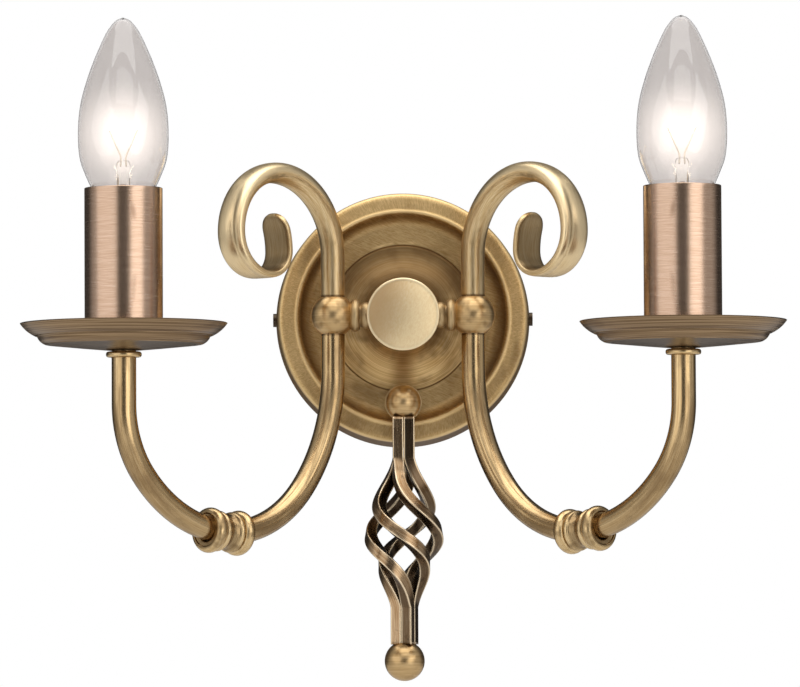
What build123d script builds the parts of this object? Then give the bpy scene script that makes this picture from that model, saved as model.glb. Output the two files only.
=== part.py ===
from build123d import *

# Double arm wall sconce: two scrolled tube arms with candle lamps on a round wall plate, and
# a twisted basket drop below it.
# Millimetres, +Z up, +X to the viewer's right.  The wall is the plane y = 0 and the sconce
# stands out of it towards -Y.  The origin is the middle of the wall plate, on the wall.
# The right-hand arm is modelled, and the left-hand one is its mirror image in the plane x = 0.

import os
from math import cos, degrees, pi, radians, sin, sqrt

# ---------------------------------------------------------------- driving dimensions
# Fits
SEAT_GAP = 0.05          # radial, between pieces that are screwed or pushed together
LAMP_GAP = 0.3           # between a lamp that turns and its lampholder

# Wall plate and hub
PLATE_RADIUS = 50.0      # front edge of the rolled rim
PLATE_FLARE = 1.4        # how much wider the plate is at the wall
PLATE_DEPTH = 26.0       # wall to the front of the rim
PLATE_WALL = 1.2
RIM_ROLL = 2.5           # radius of the rolled outer edge
RIM_BAND = 6.3           # brushed band, from the plate's edge in to the bead
BEAD_WIDTH = 2.1         # bead that rolls over into the recess
BEAD_HEIGHT = 0.4
COVE_RADIUS = 5.0        # hollow quarter round from the bead down to the floor
FLOOR_RECESS = 5.6       # rim front to recessed floor
CREASE_RADIUS = 29.6     # small step where the hub's sweep begins
CREASE_STEP = 0.7
CREASE_WIDTH = 0.4
HUB_RADIUS = 13.6
HUB_PROJECTION = 50.0    # wall to the hub's front edge
CAP_RADIUS = 14.5
CAP_EDGE = 1.6
CAP_DOME = 1.9
CAP_SPIGOT = 2.0
CAP_LIP = 0.8            # narrow slope round the edge of the cap's dome

# Wall bracket, side screws and terminal block
BRACKET_STEEL = 1.5
BRACKET_WIDTH = 18.0
BRACKET_TAB_WIDTH = 32.0
BRACKET_TAB_TOP = 27.0
EAR_WIDTH = 12.0
EAR_DEPTH = 14.0
EAR_GAP = 0.4            # ear to the inside of the plate
EAR_CORNER_GAP = 0.1     # cut-back corners of the ears to the inside of the plate
WALL_SCREW_SPACING = 60.0
SLOT_LENGTH = 14.0
SLOT_WIDTH = 4.6
CABLE_HOLE_RADIUS = 6.0
EARTH_SCREW_X = 17.0
EARTH_HEAD_RADIUS = 3.5
EARTH_HEAD_HEIGHT = 2.2
SCREW_RADIUS = 1.95
SCREW_CLEARANCE = 0.2    # screw holes in the plate, and heads to the plate
DRIVER_SLOT = 0.8        # width of the slots in the screw heads
SIDE_SCREW_HEIGHT = 9.0  # from the wall
SIDE_SCREW_LENGTH = 8.0
SIDE_HEAD_RADIUS = 2.7
SIDE_HEAD_HEIGHT = 1.4
BLOCK_WIDTH = 24.0
BLOCK_HEIGHT = 14.0
BLOCK_DEPTH = 10.5
BLOCK_BASE = 11.0        # height of the block's lower face
BLOCK_SCREW_RADIUS = 1.7
BLOCK_SCREW_LENGTH = 4.5
BLOCK_SCREW_INSET = 3.5  # from the block's upper and lower faces
BLOCK_SCREW_SUNK = 0.8

# Arm balls and the necks that carry them
BALL_RADIUS = 8.8
BALL_X = 28.0
BALL_Y = -42.0
NECK_BEAD_RADIUS = 6.6   # larger bead, against the ball
NECK_BEAD_LENGTH = 3.9
NECK_RADIUS = 5.3        # smaller bead, against the hub
NECK_BEAD_ROUND = 1.1    # how far the beads fall away at their ends
NECK_THREAD_RADIUS = 3.95
NECK_BORE = 2.75
NECK_IN_BALL = 3.5       # how far the stub reaches past the ball's inner face
NECK_IN_HUB = 6.2        # how far the stub reaches past the hub's outer face
NUT_FLATS = 11.0
NUT_THICKNESS = 2.6

# Arms
ARM_ANGLE = 45.0         # arm plane, forward of the wall
TUBE_RADIUS = 4.75
TUBE_WALL = 0.75
TUBE_IN_BALL = 3.5
TUBE_BORE_GAP = 0.4      # wiring bores of the joined pieces are narrower than the tube's
BEND_START_Z = -22.1     # where the tube leaves the vertical below the ball
LEAVE_RADIUS = 72.0      # first bend, slack
LEAVE_TURN = 40.0
INNER_RADIUS = 52.0      # second bend, as far as the knuckle
KNUCKLE_ANGLE = 94.0     # turned since the ball where the knuckle sits
OUTER_RADIUS = 61.5      # third bend, from the knuckle
RISE_RADIUS = 41.8       # last bend, up into the vertical
RISE_TURN = 40.0
KNUCKLE_LENGTH = 20.0
KNUCKLE_RING_RADIUS = 8.9
KNUCKLE_RING_WIDTH = 5.0
KNUCKLE_BEAD_RADIUS = 8.0
KNUCKLE_BEAD_WIDTH = 2.6
KNUCKLE_WAIST_RADIUS = 6.3
KNUCKLE_SOCKET = 5.0
KNUCKLE_RECESS_RADIUS = 6.3
KNUCKLE_RECESS_DEPTH = 0.7
KNUCKLE_RING_ROUND = 1.8 # how far a ring falls away at its edges
KNUCKLE_GROOVE = 0.9     # depth of the groove between ring and bead
SOCKET_END_GAP = 0.3

# Scroll
SCROLL_RISE_Z = 23.9     # where the rod leaves the vertical
ARCH_RADIUS = 31.5       # four quarter turns, each tighter than the one before
SHOULDER_RADIUS = 24.1
CURL_RADIUS = 16.5
HOOK_RADIUS = 9.4
TIP_RADIUS = 30.0        # slack bend at the tip, inwards
TIP_TURN = 30.0
STRIP_WIDTH = 14.4
STRIP_THICKNESS = 2.8
WIDEN_START = 0.10       # fractions of the scroll's length where its width and thickness change
WIDEN_END = 0.90
THIN_START = 0.25
THIN_END = 0.87

# Candle: check ring, drip pan, nipple, lampholder and sleeve
RING_RADIUS = 6.9
RING_TOP = -18.0
RING_THICKNESS = 2.2
RING_ROUND = 0.9
RING_PILOT = 0.5         # raised ring that centres the pan
PAN_RADIUS = 40.0
PAN_RIM_Z = -7.0
PAN_BOTTOM_Z = -17.5
PAN_CONE_WIDTH = 5.8     # swelling cone below the rim
PAN_STEP_Z = -12.0
PAN_LEDGE = 0.7          # narrow ledge between the cone and the bowl
PAN_BOWL_WIDTH = 3.0     # steep bowl below the ledge
PAN_LOWER_Z = -15.2
PAN_BULGE = 0.5          # how far cone and bowl swell past a straight line
PAN_SEAT_RADIUS = 16.5
PAN_SHEET = 0.9
NIPPLE_RADIUS = 3.95
NIPPLE_BORE = 2.75
NIPPLE_TOP = 3.0
NIPPLE_IN_TUBE = 8.0
SLEEVE_RADIUS = 15.1
SLEEVE_WALL = 0.8
SLEEVE_TOP = 45.2
HOLDER_RADIUS = 13.4
HOLDER_TOP = 29.5
HOLDER_BASE_RADIUS = 9.0
HOLDER_BASE_TOP = 3.0
HOLDER_BOTTOM = -4.0
HOLDER_SHELL_WALL = 0.5
HOLDER_SHELL_LENGTH = 13.4
CONTACT_POST_RADIUS = 2.4
CONTACT_LEAF = 0.6

# Candle lamp, 35 mm in diameter with a 14 mm screw cap
LAMP_RADIUS = 17.5
LAMP_WIDEST_Z = 66.5
LAMP_TIP_Z = 111.3
LAMP_BASE_Z = 11.5
LAMP_GLASS = 0.8
LAMP_NECK_RADIUS = 6.2
LAMP_CAP_RADIUS = 6.9
LAMP_CAP_WALL = 0.4
LAMP_CAP_BOTTOM = 15.5
LAMP_CAP_TOP = 32.0
LAMP_CONTACT_RADIUS = 2.4
LAMP_CONTACT_HEIGHT = 1.0
STEM_RADIUS = 2.6
STEM_TOP = 56.0
LEAD_RADIUS = 0.3
LEAD_SPREAD = 5.5
LEAD_TOP = 68.0
FILAMENT_RADIUS = 0.45

# Basket drop
DROP_BALL_RADIUS = 7.0
DROP_INSET = 15.7        # plate's edge in to the drop's ball
DROP_Y = -32.5
DROP_NECK_RADIUS = 5.25
DROP_NECK_LIFT = 0.8     # the neck's shoulder stands off the floor to clear the cove
DROP_WASHER_RADIUS = 7.5
DROP_WASHER_THICKNESS = 1.1
BAR_SIDE = 4.4
BAR_GAP = 0.08           # between neighbouring bars of the closed bundle
BUNDLE_LENGTH = 22.2     # ball's centre down to where the bars begin to part
BASKET_LENGTH = 60.0
BASKET_RADIUS = 16.0     # outer corner of a bar at the widest point
BASKET_TURN = 250.0      # twist of the bundle, anticlockwise from above on the way down
BASKET_EVENNESS = 0.34   # 0 twists at an even rate, 1 starts and ends without twist
BASKET_FULLNESS = 1.8    # exponent of the swelling
BAR_ROLL = 32.0          # turn of a bar about its own line at the widest point
TAIL_LENGTH = 14.7       # closed bundle below the basket
BALL_SEAT_DEPTH = 1.3    # how far the balls reach into the bundle's ends
FINIAL_RADIUS = 8.0
STUD_RADIUS = 2.0
STUD_LENGTH = 13.0
STUD_IN_BARS = 8.5
STUD_END_GAP = 0.3

# Flex in the arms
FLEX_RADIUS = 2.0
FLEX_BEND = 5.0
FLEX_X = 4.0
FLEX_Y = -8.0
FLEX_IN_BLOCK = 4.0

# ---------------------------------------------------------------- worked-out places
floor_y = -(PLATE_DEPTH - FLOOR_RECESS)
bead_outer = PLATE_RADIUS - RIM_BAND
cove_top = bead_outer - BEAD_WIDTH
cove_foot = cove_top - COVE_RADIUS
sweep_start_radius = CREASE_RADIUS - CREASE_WIDTH
hub_sweep_y = floor_y - CREASE_STEP - (sweep_start_radius - HUB_RADIUS)
inner_wall_radius = PLATE_RADIUS - PLATE_WALL

arm_x_dir = (cos(radians(ARM_ANGLE)), -sin(radians(ARM_ANGLE)), 0)
arm_normal = (-sin(radians(ARM_ANGLE)), -cos(radians(ARM_ANGLE)), 0)
arm_plane = Plane(origin=(BALL_X, BALL_Y, 0), x_dir=arm_x_dir, z_dir=arm_normal)
tube_top = -(BALL_RADIUS - TUBE_IN_BALL)


def walk(place, heading, steps):
    """Ends of straight runs (length, 0) and bends (radius, turn in degrees) in the arm's plane."""
    ends = [(place, heading)]
    for size, turn in steps:
        along = radians(heading)
        if turn == 0:
            place = (place[0] + size * cos(along), place[1] + size * sin(along))
        else:
            side = size if turn > 0 else -size
            last = radians(heading + turn)
            place = (place[0] + side * (sin(last) - sin(along)), place[1] - side * (cos(last) - cos(along)))
        heading += turn
        ends.append((place, heading))
    return ends


def draw_steps(place, heading, steps):
    """Draw the same runs and bends, one after the other, into the line being built."""
    for (start, heading), (end, _), (size, turn) in zip(
            walk(place, heading, steps), walk(place, heading, steps)[1:], steps):
        if turn == 0:
            Line(start, end)
        else:
            first = heading - (90 if turn > 0 else -90)
            centre = (start[0] - size * cos(radians(first)), start[1] - size * sin(radians(first)))
            CenterArc(centre, size, first, turn)


# the tube's line, from the ball down, through the knuckle and up to the candle
INNER_TURN = KNUCKLE_ANGLE - LEAVE_TURN
OUTER_TURN = 180 - KNUCKLE_ANGLE - RISE_TURN
inner_bends = [(LEAVE_RADIUS, LEAVE_TURN), (INNER_RADIUS, INNER_TURN)]
outer_bends = [(OUTER_RADIUS, OUTER_TURN), (RISE_RADIUS, RISE_TURN)]
knuckle_place, knuckle_heading = walk((0, BEND_START_Z), -90, inner_bends)[-1]
(arm_reach, bend_end_z), _ = walk(knuckle_place, knuckle_heading, outer_bends)[-1]
candle_x = BALL_X + arm_reach * arm_x_dir[0]
candle_y = BALL_Y + arm_reach * arm_x_dir[1]
candle_section = Plane(origin=(candle_x, candle_y, 0), x_dir=(1, 0, 0), z_dir=(0, -1, 0))
candle_axis = Axis((candle_x, candle_y, 0), (0, 0, 1))

ring_bottom = RING_TOP - RING_THICKNESS
seat_z = PAN_BOTTOM_Z + PAN_SHEET
pan_floor = seat_z + 0.7 * PAN_SHEET
tube_bore = TUBE_RADIUS - TUBE_WALL
socket_radius = TUBE_RADIUS + SEAT_GAP
drop_ball_z = -(PLATE_RADIUS - DROP_INSET)
basket_top_z = drop_ball_z - BUNDLE_LENGTH
basket_end_z = basket_top_z - BASKET_LENGTH
bars_end_z = basket_end_z - TAIL_LENGTH
finial_z = bars_end_z - FINIAL_RADIUS + BALL_SEAT_DEPTH
top_stud_bottom = drop_ball_z - DROP_BALL_RADIUS - STUD_IN_BARS
end_stud_bottom = finial_z + FINIAL_RADIUS + STUD_IN_BARS - STUD_LENGTH


def candle_level(z):
    """Horizontal plane at height z, centred on the candle's axis."""
    return Plane(origin=(candle_x, candle_y, z))


def save(part, label):
    """Name a finished piece and write it to its own file."""
    part.label = label
    export_step(part, f"parts/{label}.step")


def save_pair(part, label):
    """Write a right-hand piece and its left-hand mirror image."""
    save(part, f"right_{label}")
    save(mirror(part, about=Plane.YZ), f"left_{label}")


os.makedirs("parts", exist_ok=True)

# ---------------------------------------------------------------- wall plate
# Spun shell: flared side wall, rolled rim, a band that ends in a bead, a cove down to the
# recessed floor, a small step, and a hollow sweep up to the hub, which is open in front.
rim_front = -PLATE_DEPTH
bead_crest = ((bead_outer + cove_top) / 2, rim_front - BEAD_HEIGHT)
cove_centre_y = floor_y - COVE_RADIUS
crease_y = floor_y - CREASE_STEP


def plate_outline(inset):
    """Half section of the plate's outer face, moved back into the sheet by inset."""
    edge = PLATE_RADIUS - inset
    front = rim_front + inset
    roll = RIM_ROLL - 0.5 * inset
    wall_foot = (edge + PLATE_FLARE, 0)
    roll_start = (edge, front + roll)
    roll_end = (edge - roll, front)
    band_end = (bead_outer + 0.5 * inset, front)
    cove_start = (cove_top + inset, cove_centre_y)
    cove_mid = (cove_foot + (COVE_RADIUS + inset) * cos(radians(45)),
                cove_centre_y + (COVE_RADIUS + inset) * sin(radians(45)))
    floor_edge = (cove_foot, floor_y + inset)
    floor_end = (CREASE_RADIUS, floor_y + inset)
    step = (sweep_start_radius, crease_y + inset)
    sweep_end = (HUB_RADIUS - inset, hub_sweep_y)
    sweep_mid = (
        step[0] - (step[0] - sweep_end[0]) * cos(radians(45)),
        sweep_end[1] + (step[1] - sweep_end[1]) * sin(radians(45)),
    )
    hub_front = (HUB_RADIUS - inset, -HUB_PROJECTION)
    Polyline(wall_foot, roll_start)
    TangentArc(roll_start, roll_end, tangent=(0, -1))
    Line(roll_end, band_end)
    if inset:
        Line(band_end, cove_start)
    else:
        ThreePointArc(band_end, bead_crest, cove_start)
    ThreePointArc(cove_start, cove_mid, floor_edge)
    Polyline(floor_edge, floor_end, step)
    ThreePointArc(step, sweep_mid, sweep_end)
    Polyline(sweep_end, hub_front, (0, -HUB_PROJECTION), (0, 0), wall_foot)


with BuildPart() as backplate:
    with BuildSketch(Plane.XY):
        with BuildLine():
            plate_outline(0)
        make_face()
    revolve(axis=Axis.Y)
    with BuildSketch(Plane.XY):
        with BuildLine():
            plate_outline(PLATE_WALL)
        make_face()
    revolve(axis=Axis.Y, mode=Mode.SUBTRACT)
    # holes for the necks, the drop and the side screws
    with Locations(Plane(origin=(0, BALL_Y, 0), z_dir=(1, 0, 0))):
        Cylinder(NECK_THREAD_RADIUS + SEAT_GAP, 4 * HUB_RADIUS, mode=Mode.SUBTRACT)
    with Locations(Plane(origin=(0, floor_y, drop_ball_z), z_dir=(0, -1, 0))):
        Cylinder(NECK_THREAD_RADIUS + SEAT_GAP, 4 * PLATE_WALL, mode=Mode.SUBTRACT)
    with Locations(Plane(origin=(0, -SIDE_SCREW_HEIGHT, 0), z_dir=(1, 0, 0))):
        Cylinder(SCREW_RADIUS + SCREW_CLEARANCE, 2 * (PLATE_RADIUS + PLATE_FLARE) + 2, mode=Mode.SUBTRACT)
save(backplate.part, "backplate")

with BuildPart() as hub_cap:
    with BuildSketch(Plane.XY):
        with BuildLine():
            cap_back = -HUB_PROJECTION
            cap_edge = cap_back - CAP_EDGE
            cap_front = cap_edge - CAP_DOME
            spigot = HUB_RADIUS - PLATE_WALL - SEAT_GAP
            back_edge = 0.5 * CAP_LIP
            dome_edge = (CAP_RADIUS - CAP_LIP, cap_edge - CAP_LIP)
            Polyline((0, cap_front), (0, cap_back + CAP_SPIGOT), (spigot, cap_back + CAP_SPIGOT),
                     (spigot, cap_back), (CAP_RADIUS - back_edge, cap_back),
                     (CAP_RADIUS, cap_back - back_edge), (CAP_RADIUS, cap_edge), dome_edge)
            TangentArc((0, cap_front), dome_edge, tangent=(1, 0))
        make_face()
    revolve(axis=Axis.Y)
save(hub_cap.part, "hub_cap")

# ---------------------------------------------------------------- wall bracket and fixings
ear_outer = inner_wall_radius - EAR_GAP
with BuildPart() as wall_bracket:
    with BuildSketch(Plane.XZ):
        Rectangle(2 * ear_outer, BRACKET_WIDTH)
        with Locations((0, BRACKET_TAB_TOP / 2)):
            Rectangle(BRACKET_TAB_WIDTH, BRACKET_TAB_TOP)
        Circle(CABLE_HOLE_RADIUS, mode=Mode.SUBTRACT)
        with Locations((-WALL_SCREW_SPACING / 2, 0), (WALL_SCREW_SPACING / 2, 0)):
            SlotOverall(SLOT_LENGTH, SLOT_WIDTH, mode=Mode.SUBTRACT)
        with Locations((EARTH_SCREW_X, 0)):
            Circle(SCREW_RADIUS + SEAT_GAP, mode=Mode.SUBTRACT)
    extrude(amount=BRACKET_STEEL)
    with BuildSketch(Plane.XZ):
        ear_x = ear_outer - BRACKET_STEEL / 2
        with Locations((-ear_x, 0), (ear_x, 0)):
            Rectangle(BRACKET_STEEL, EAR_WIDTH)
    extrude(amount=EAR_DEPTH)
    # corners of the strap are cut back to clear the round plate
    with BuildSketch(Plane.XZ):
        Circle(2 * PLATE_RADIUS)
        Circle(inner_wall_radius - EAR_CORNER_GAP, mode=Mode.SUBTRACT)
    extrude(amount=EAR_DEPTH, mode=Mode.SUBTRACT)
    with Locations(Plane(origin=(0, -SIDE_SCREW_HEIGHT, 0), z_dir=(1, 0, 0))):
        Cylinder(SCREW_RADIUS + SEAT_GAP, 2 * PLATE_RADIUS, mode=Mode.SUBTRACT)
save(wall_bracket.part, "wall_bracket")

with BuildPart() as side_screws:
    flare_here = PLATE_FLARE * (1 - SIDE_SCREW_HEIGHT / (PLATE_DEPTH - RIM_ROLL))
    side_wall = PLATE_RADIUS + flare_here + SCREW_CLEARANCE
    for toward in (-1, 1):
        head_plane = Plane(origin=(toward * side_wall, -SIDE_SCREW_HEIGHT, 0), z_dir=(toward, 0, 0))
        with BuildSketch(head_plane):
            Circle(SIDE_HEAD_RADIUS)
        extrude(amount=SIDE_HEAD_HEIGHT)
        with BuildSketch(head_plane):
            Circle(SCREW_RADIUS)
        extrude(amount=-SIDE_SCREW_LENGTH)
        with BuildSketch(head_plane.offset(SIDE_HEAD_HEIGHT)):
            Rectangle(2 * SIDE_HEAD_RADIUS, DRIVER_SLOT)
        extrude(amount=-SIDE_HEAD_HEIGHT / 2, mode=Mode.SUBTRACT)
save(side_screws.part, "side_screws")

with BuildPart() as earth_screw:
    with BuildSketch(Plane.XZ.offset(BRACKET_STEEL)):
        with Locations((EARTH_SCREW_X, 0)):
            Circle(EARTH_HEAD_RADIUS)
    extrude(amount=EARTH_HEAD_HEIGHT)
    with BuildSketch(Plane.XZ.offset(SCREW_CLEARANCE)):
        with Locations((EARTH_SCREW_X, 0)):
            Circle(SCREW_RADIUS)
    extrude(amount=BRACKET_STEEL)
    with BuildSketch(Plane.XZ.offset(BRACKET_STEEL + EARTH_HEAD_HEIGHT)):
        with Locations((EARTH_SCREW_X, 0)):
            Rectangle(2 * EARTH_HEAD_RADIUS, DRIVER_SLOT)
    extrude(amount=-EARTH_HEAD_HEIGHT / 2, mode=Mode.SUBTRACT)
save(earth_screw.part, "earth_screw")

block_front = BRACKET_STEEL + BLOCK_DEPTH
block_screw_z = (BLOCK_BASE + BLOCK_SCREW_INSET, BLOCK_BASE + BLOCK_HEIGHT - BLOCK_SCREW_INSET)
wire_hole = FLEX_RADIUS + LAMP_GAP
with BuildPart() as terminal_block:
    with BuildSketch(Plane.XZ.offset(BRACKET_STEEL)):
        with Locations((0, BLOCK_BASE + BLOCK_HEIGHT / 2)):
            RectangleRounded(BLOCK_WIDTH, BLOCK_HEIGHT, 1.0)
    extrude(amount=BLOCK_DEPTH)
    with BuildSketch(Plane.XY.offset(BLOCK_BASE)):
        with Locations((-FLEX_X, FLEX_Y), (FLEX_X, FLEX_Y)):
            Circle(wire_hole)
    extrude(amount=FLEX_IN_BLOCK + LAMP_GAP, mode=Mode.SUBTRACT)
    with BuildSketch(Plane.XZ.offset(block_front)):
        with Locations([(x, z) for x in (-FLEX_X, FLEX_X) for z in block_screw_z]):
            Circle(BLOCK_SCREW_RADIUS + 2 * SEAT_GAP)
    extrude(amount=-BLOCK_SCREW_LENGTH, mode=Mode.SUBTRACT)
save(terminal_block.part, "terminal_block")

with BuildPart() as terminal_screws:
    screw_head = block_front - BLOCK_SCREW_SUNK
    with BuildSketch(Plane.XZ.offset(screw_head)):
        with Locations([(x, z) for x in (-FLEX_X, FLEX_X) for z in block_screw_z]):
            Circle(BLOCK_SCREW_RADIUS)
    extrude(amount=-(screw_head + FLEX_Y - wire_hole))
save(terminal_screws.part, "terminal_screws")

# ---------------------------------------------------------------- arm balls and necks
# Each neck screws through the hub's side into its ball, and a nut holds it inside the hub.
ball_face = BALL_X - BALL_RADIUS
neck_side = Plane(origin=(0, BALL_Y, 0), x_dir=(0, 0, 1), z_dir=(1, 0, 0))
hub_seat_x = sqrt(HUB_RADIUS**2 - NECK_RADIUS**2)
bead_end = BALL_X - sqrt(BALL_RADIUS**2 - (NECK_BEAD_RADIUS - NECK_BEAD_ROUND) ** 2)
bead_start = bead_end - NECK_BEAD_LENGTH
neck_axis = Axis((0, BALL_Y, 0), (1, 0, 0))


def neck_bead(start, end, radius):
    """Rounded outline of a turned bead between two places along the neck."""
    foot = radius - NECK_BEAD_ROUND
    ThreePointArc((start, foot), ((start + end) / 2, radius), (end, foot))


with BuildPart() as neck:
    with BuildSketch(Plane(origin=neck_axis.position)):
        with BuildLine():
            neck_bead(hub_seat_x, bead_start, NECK_RADIUS)
            Line((bead_start, NECK_RADIUS - NECK_BEAD_ROUND), (bead_start, NECK_BEAD_RADIUS - NECK_BEAD_ROUND))
            neck_bead(bead_start, bead_end, NECK_BEAD_RADIUS)
            Polyline((bead_end, NECK_BEAD_RADIUS - NECK_BEAD_ROUND), (bead_end, 0), (hub_seat_x, 0),
                     (hub_seat_x, NECK_RADIUS - NECK_BEAD_ROUND))
        make_face()
    revolve(axis=neck_axis)
    with Locations((BALL_X, BALL_Y, 0)):
        Sphere(BALL_RADIUS + SEAT_GAP, mode=Mode.SUBTRACT)
    with Locations(Plane(origin=(0, BALL_Y, 0), z_dir=(0, -1, 0))):
        Cylinder(HUB_RADIUS + SEAT_GAP, 4 * NECK_BEAD_RADIUS, mode=Mode.SUBTRACT)
    with BuildSketch(neck_side.offset(HUB_RADIUS - NECK_IN_HUB)):
        Circle(NECK_THREAD_RADIUS)
    extrude(amount=ball_face + NECK_IN_BALL - HUB_RADIUS + NECK_IN_HUB)
    with BuildSketch(neck_side):
        Circle(NECK_BORE)
    extrude(amount=BALL_X, mode=Mode.SUBTRACT)
save_pair(neck.part, "neck")

with BuildPart() as arm_ball:
    with Locations((BALL_X, BALL_Y, 0)):
        Sphere(BALL_RADIUS)
    with BuildSketch(neck_side.offset(ball_face - 1)):
        Circle(NECK_THREAD_RADIUS + SEAT_GAP)
    extrude(amount=1 + NECK_IN_BALL + SOCKET_END_GAP, mode=Mode.SUBTRACT)
    with BuildSketch(neck_side.offset(ball_face)):
        Circle(NECK_BORE)
    extrude(amount=BALL_RADIUS, mode=Mode.SUBTRACT)
    socket_level = BALL_RADIUS - TUBE_IN_BALL
    for level in (socket_level, -socket_level - TUBE_IN_BALL):
        with BuildSketch(Plane(origin=(BALL_X, BALL_Y, level))):
            Circle(socket_radius)
        extrude(amount=TUBE_IN_BALL, mode=Mode.SUBTRACT)
    with BuildSketch(Plane(origin=(BALL_X, BALL_Y, -socket_level))):
        Circle(tube_bore - TUBE_BORE_GAP)
    extrude(amount=socket_level, mode=Mode.SUBTRACT)
    with Locations((BALL_X, BALL_Y, 0)):
        Sphere(tube_bore - TUBE_BORE_GAP, mode=Mode.SUBTRACT)
save_pair(arm_ball.part, "arm_ball")

# ---------------------------------------------------------------- arm tubes and knuckle
# The tube is bent in the arm's upright plane: slack at first, tighter towards the knuckle,
# and tighter again as it climbs to the candle.
knuckle_half = KNUCKLE_LENGTH / 2
tube_end_reach = knuckle_half - KNUCKLE_SOCKET


def swept_tube(line, outer, inner):
    """Tube, or a rod where inner is 0, that follows a line."""
    with BuildPart() as tube:
        with BuildSketch(Plane(origin=line @ 0, z_dir=line % 0)):
            Circle(outer)
            if inner > 0:
                Circle(inner, mode=Mode.SUBTRACT)
        sweep(path=line)
    return tube.part


inner_end_turn = degrees(tube_end_reach / INNER_RADIUS)
with BuildLine(arm_plane) as inner_line:
    draw_steps((0, tube_top), -90, [(tube_top - BEND_START_Z, 0), (LEAVE_RADIUS, LEAVE_TURN),
                                    (INNER_RADIUS, INNER_TURN - inner_end_turn)])
save_pair(swept_tube(inner_line.line, TUBE_RADIUS, tube_bore), "inner_tube")

outer_end_turn = degrees(tube_end_reach / OUTER_RADIUS)
outer_start, outer_heading = walk(knuckle_place, knuckle_heading, [(OUTER_RADIUS, outer_end_turn)])[-1]
with BuildLine(arm_plane) as outer_line:
    draw_steps(outer_start, outer_heading, [(OUTER_RADIUS, OUTER_TURN - outer_end_turn),
                                            (RISE_RADIUS, RISE_TURN), (ring_bottom - bend_end_z, 0)])
save_pair(swept_tube(outer_line.line, TUBE_RADIUS, tube_bore), "outer_tube")

knuckle_turn = radians(knuckle_heading)
knuckle_along = arm_plane.from_local_coords(Vector(cos(knuckle_turn), sin(knuckle_turn), 0)) \
    - arm_plane.origin
knuckle_centre = arm_plane.from_local_coords(Vector(*knuckle_place, 0))
knuckle_plane = Plane(origin=knuckle_centre, x_dir=knuckle_along, z_dir=arm_normal)
with BuildPart() as knuckle:
    half = knuckle_half
    ring_in = half - KNUCKLE_RING_WIDTH
    ring_foot = KNUCKLE_RING_RADIUS - KNUCKLE_RING_ROUND
    groove = KNUCKLE_BEAD_RADIUS - KNUCKLE_GROOVE
    bead_in = ring_in - KNUCKLE_BEAD_WIDTH
    ring_crown = (half - KNUCKLE_RING_WIDTH / 2, KNUCKLE_RING_RADIUS)
    with BuildSketch(knuckle_plane):
        with BuildLine():
            Polyline((0, 0), (-half, 0), (-half, ring_foot))
            ThreePointArc((-half, ring_foot), (-ring_crown[0], ring_crown[1]),
                          (-ring_in, ring_foot))
            Polyline((-ring_in, ring_foot), (-ring_in + 0.2, groove))
            ThreePointArc((-ring_in + 0.2, groove),
                          (-ring_in + KNUCKLE_BEAD_WIDTH / 2, KNUCKLE_BEAD_RADIUS), (-bead_in, groove))
            ThreePointArc((-bead_in, groove), (0, KNUCKLE_WAIST_RADIUS), (bead_in, groove))
            ThreePointArc((bead_in, groove), (ring_in - KNUCKLE_BEAD_WIDTH / 2, KNUCKLE_BEAD_RADIUS),
                          (ring_in - 0.2, groove))
            Polyline((ring_in - 0.2, groove), (ring_in, ring_foot))
            ThreePointArc((ring_in, ring_foot), ring_crown,
                          (half, ring_foot))
            Polyline((half, ring_foot), (half, 0), (0, 0))
        make_face()
    revolve(axis=Axis(knuckle_plane.origin, knuckle_plane.x_dir))
    for end in (-1, 1):
        with BuildSketch(Plane(origin=knuckle_centre + knuckle_along * end * half,
                               z_dir=knuckle_along * end)):
            Circle(KNUCKLE_RECESS_RADIUS)
        extrude(amount=-KNUCKLE_RECESS_DEPTH, mode=Mode.SUBTRACT)
    # sockets for the tubes, and between them the bore, both along the tubes' own bends
    for heading, radius, sense in ((knuckle_heading + 180, INNER_RADIUS, -1),
                                   (knuckle_heading, OUTER_RADIUS, 1)):
        bore_turn = sense * degrees((tube_end_reach - SOCKET_END_GAP) / radius)
        with BuildLine(arm_plane) as bore_line:
            draw_steps(knuckle_place, heading, [(radius, bore_turn)])
        with BuildSketch(Plane(origin=bore_line.line @ 0, z_dir=bore_line.line % 0)):
            Circle(tube_bore - TUBE_BORE_GAP)
        sweep(path=bore_line.line, mode=Mode.SUBTRACT)
        socket_start, socket_heading = walk(knuckle_place, heading, [(radius, bore_turn)])[-1]
        with BuildLine(arm_plane) as socket_line:
            draw_steps(socket_start, socket_heading, [(radius, sense * degrees(2 * KNUCKLE_SOCKET / radius))])
        with BuildSketch(Plane(origin=socket_line.line @ 0, z_dir=socket_line.line % 0)):
            Circle(socket_radius)
        sweep(path=socket_line.line, mode=Mode.SUBTRACT)
save_pair(knuckle.part, "knuckle")

# ---------------------------------------------------------------- scroll
# A rod that leaves the ball upright, arches over and curls in under itself.  On the way it
# is hammered from a round into a flat strip, set square to the arm's plane, with a round tip.
scroll_start_z = BALL_RADIUS - TUBE_IN_BALL
quarter_turns = [(radius, -90) for radius in (ARCH_RADIUS, SHOULDER_RADIUS, CURL_RADIUS, HOOK_RADIUS)]
with BuildLine(arm_plane) as scroll_line:
    draw_steps((0, scroll_start_z), 90,
               [(SCROLL_RISE_Z - scroll_start_z, 0)] + quarter_turns + [(TIP_RADIUS, -TIP_TURN)])


def smooth(value):
    """Ease from 0 to 1 with level ends."""
    value = min(max(value, 0), 1)
    return value * value * (3 - 2 * value)


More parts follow.
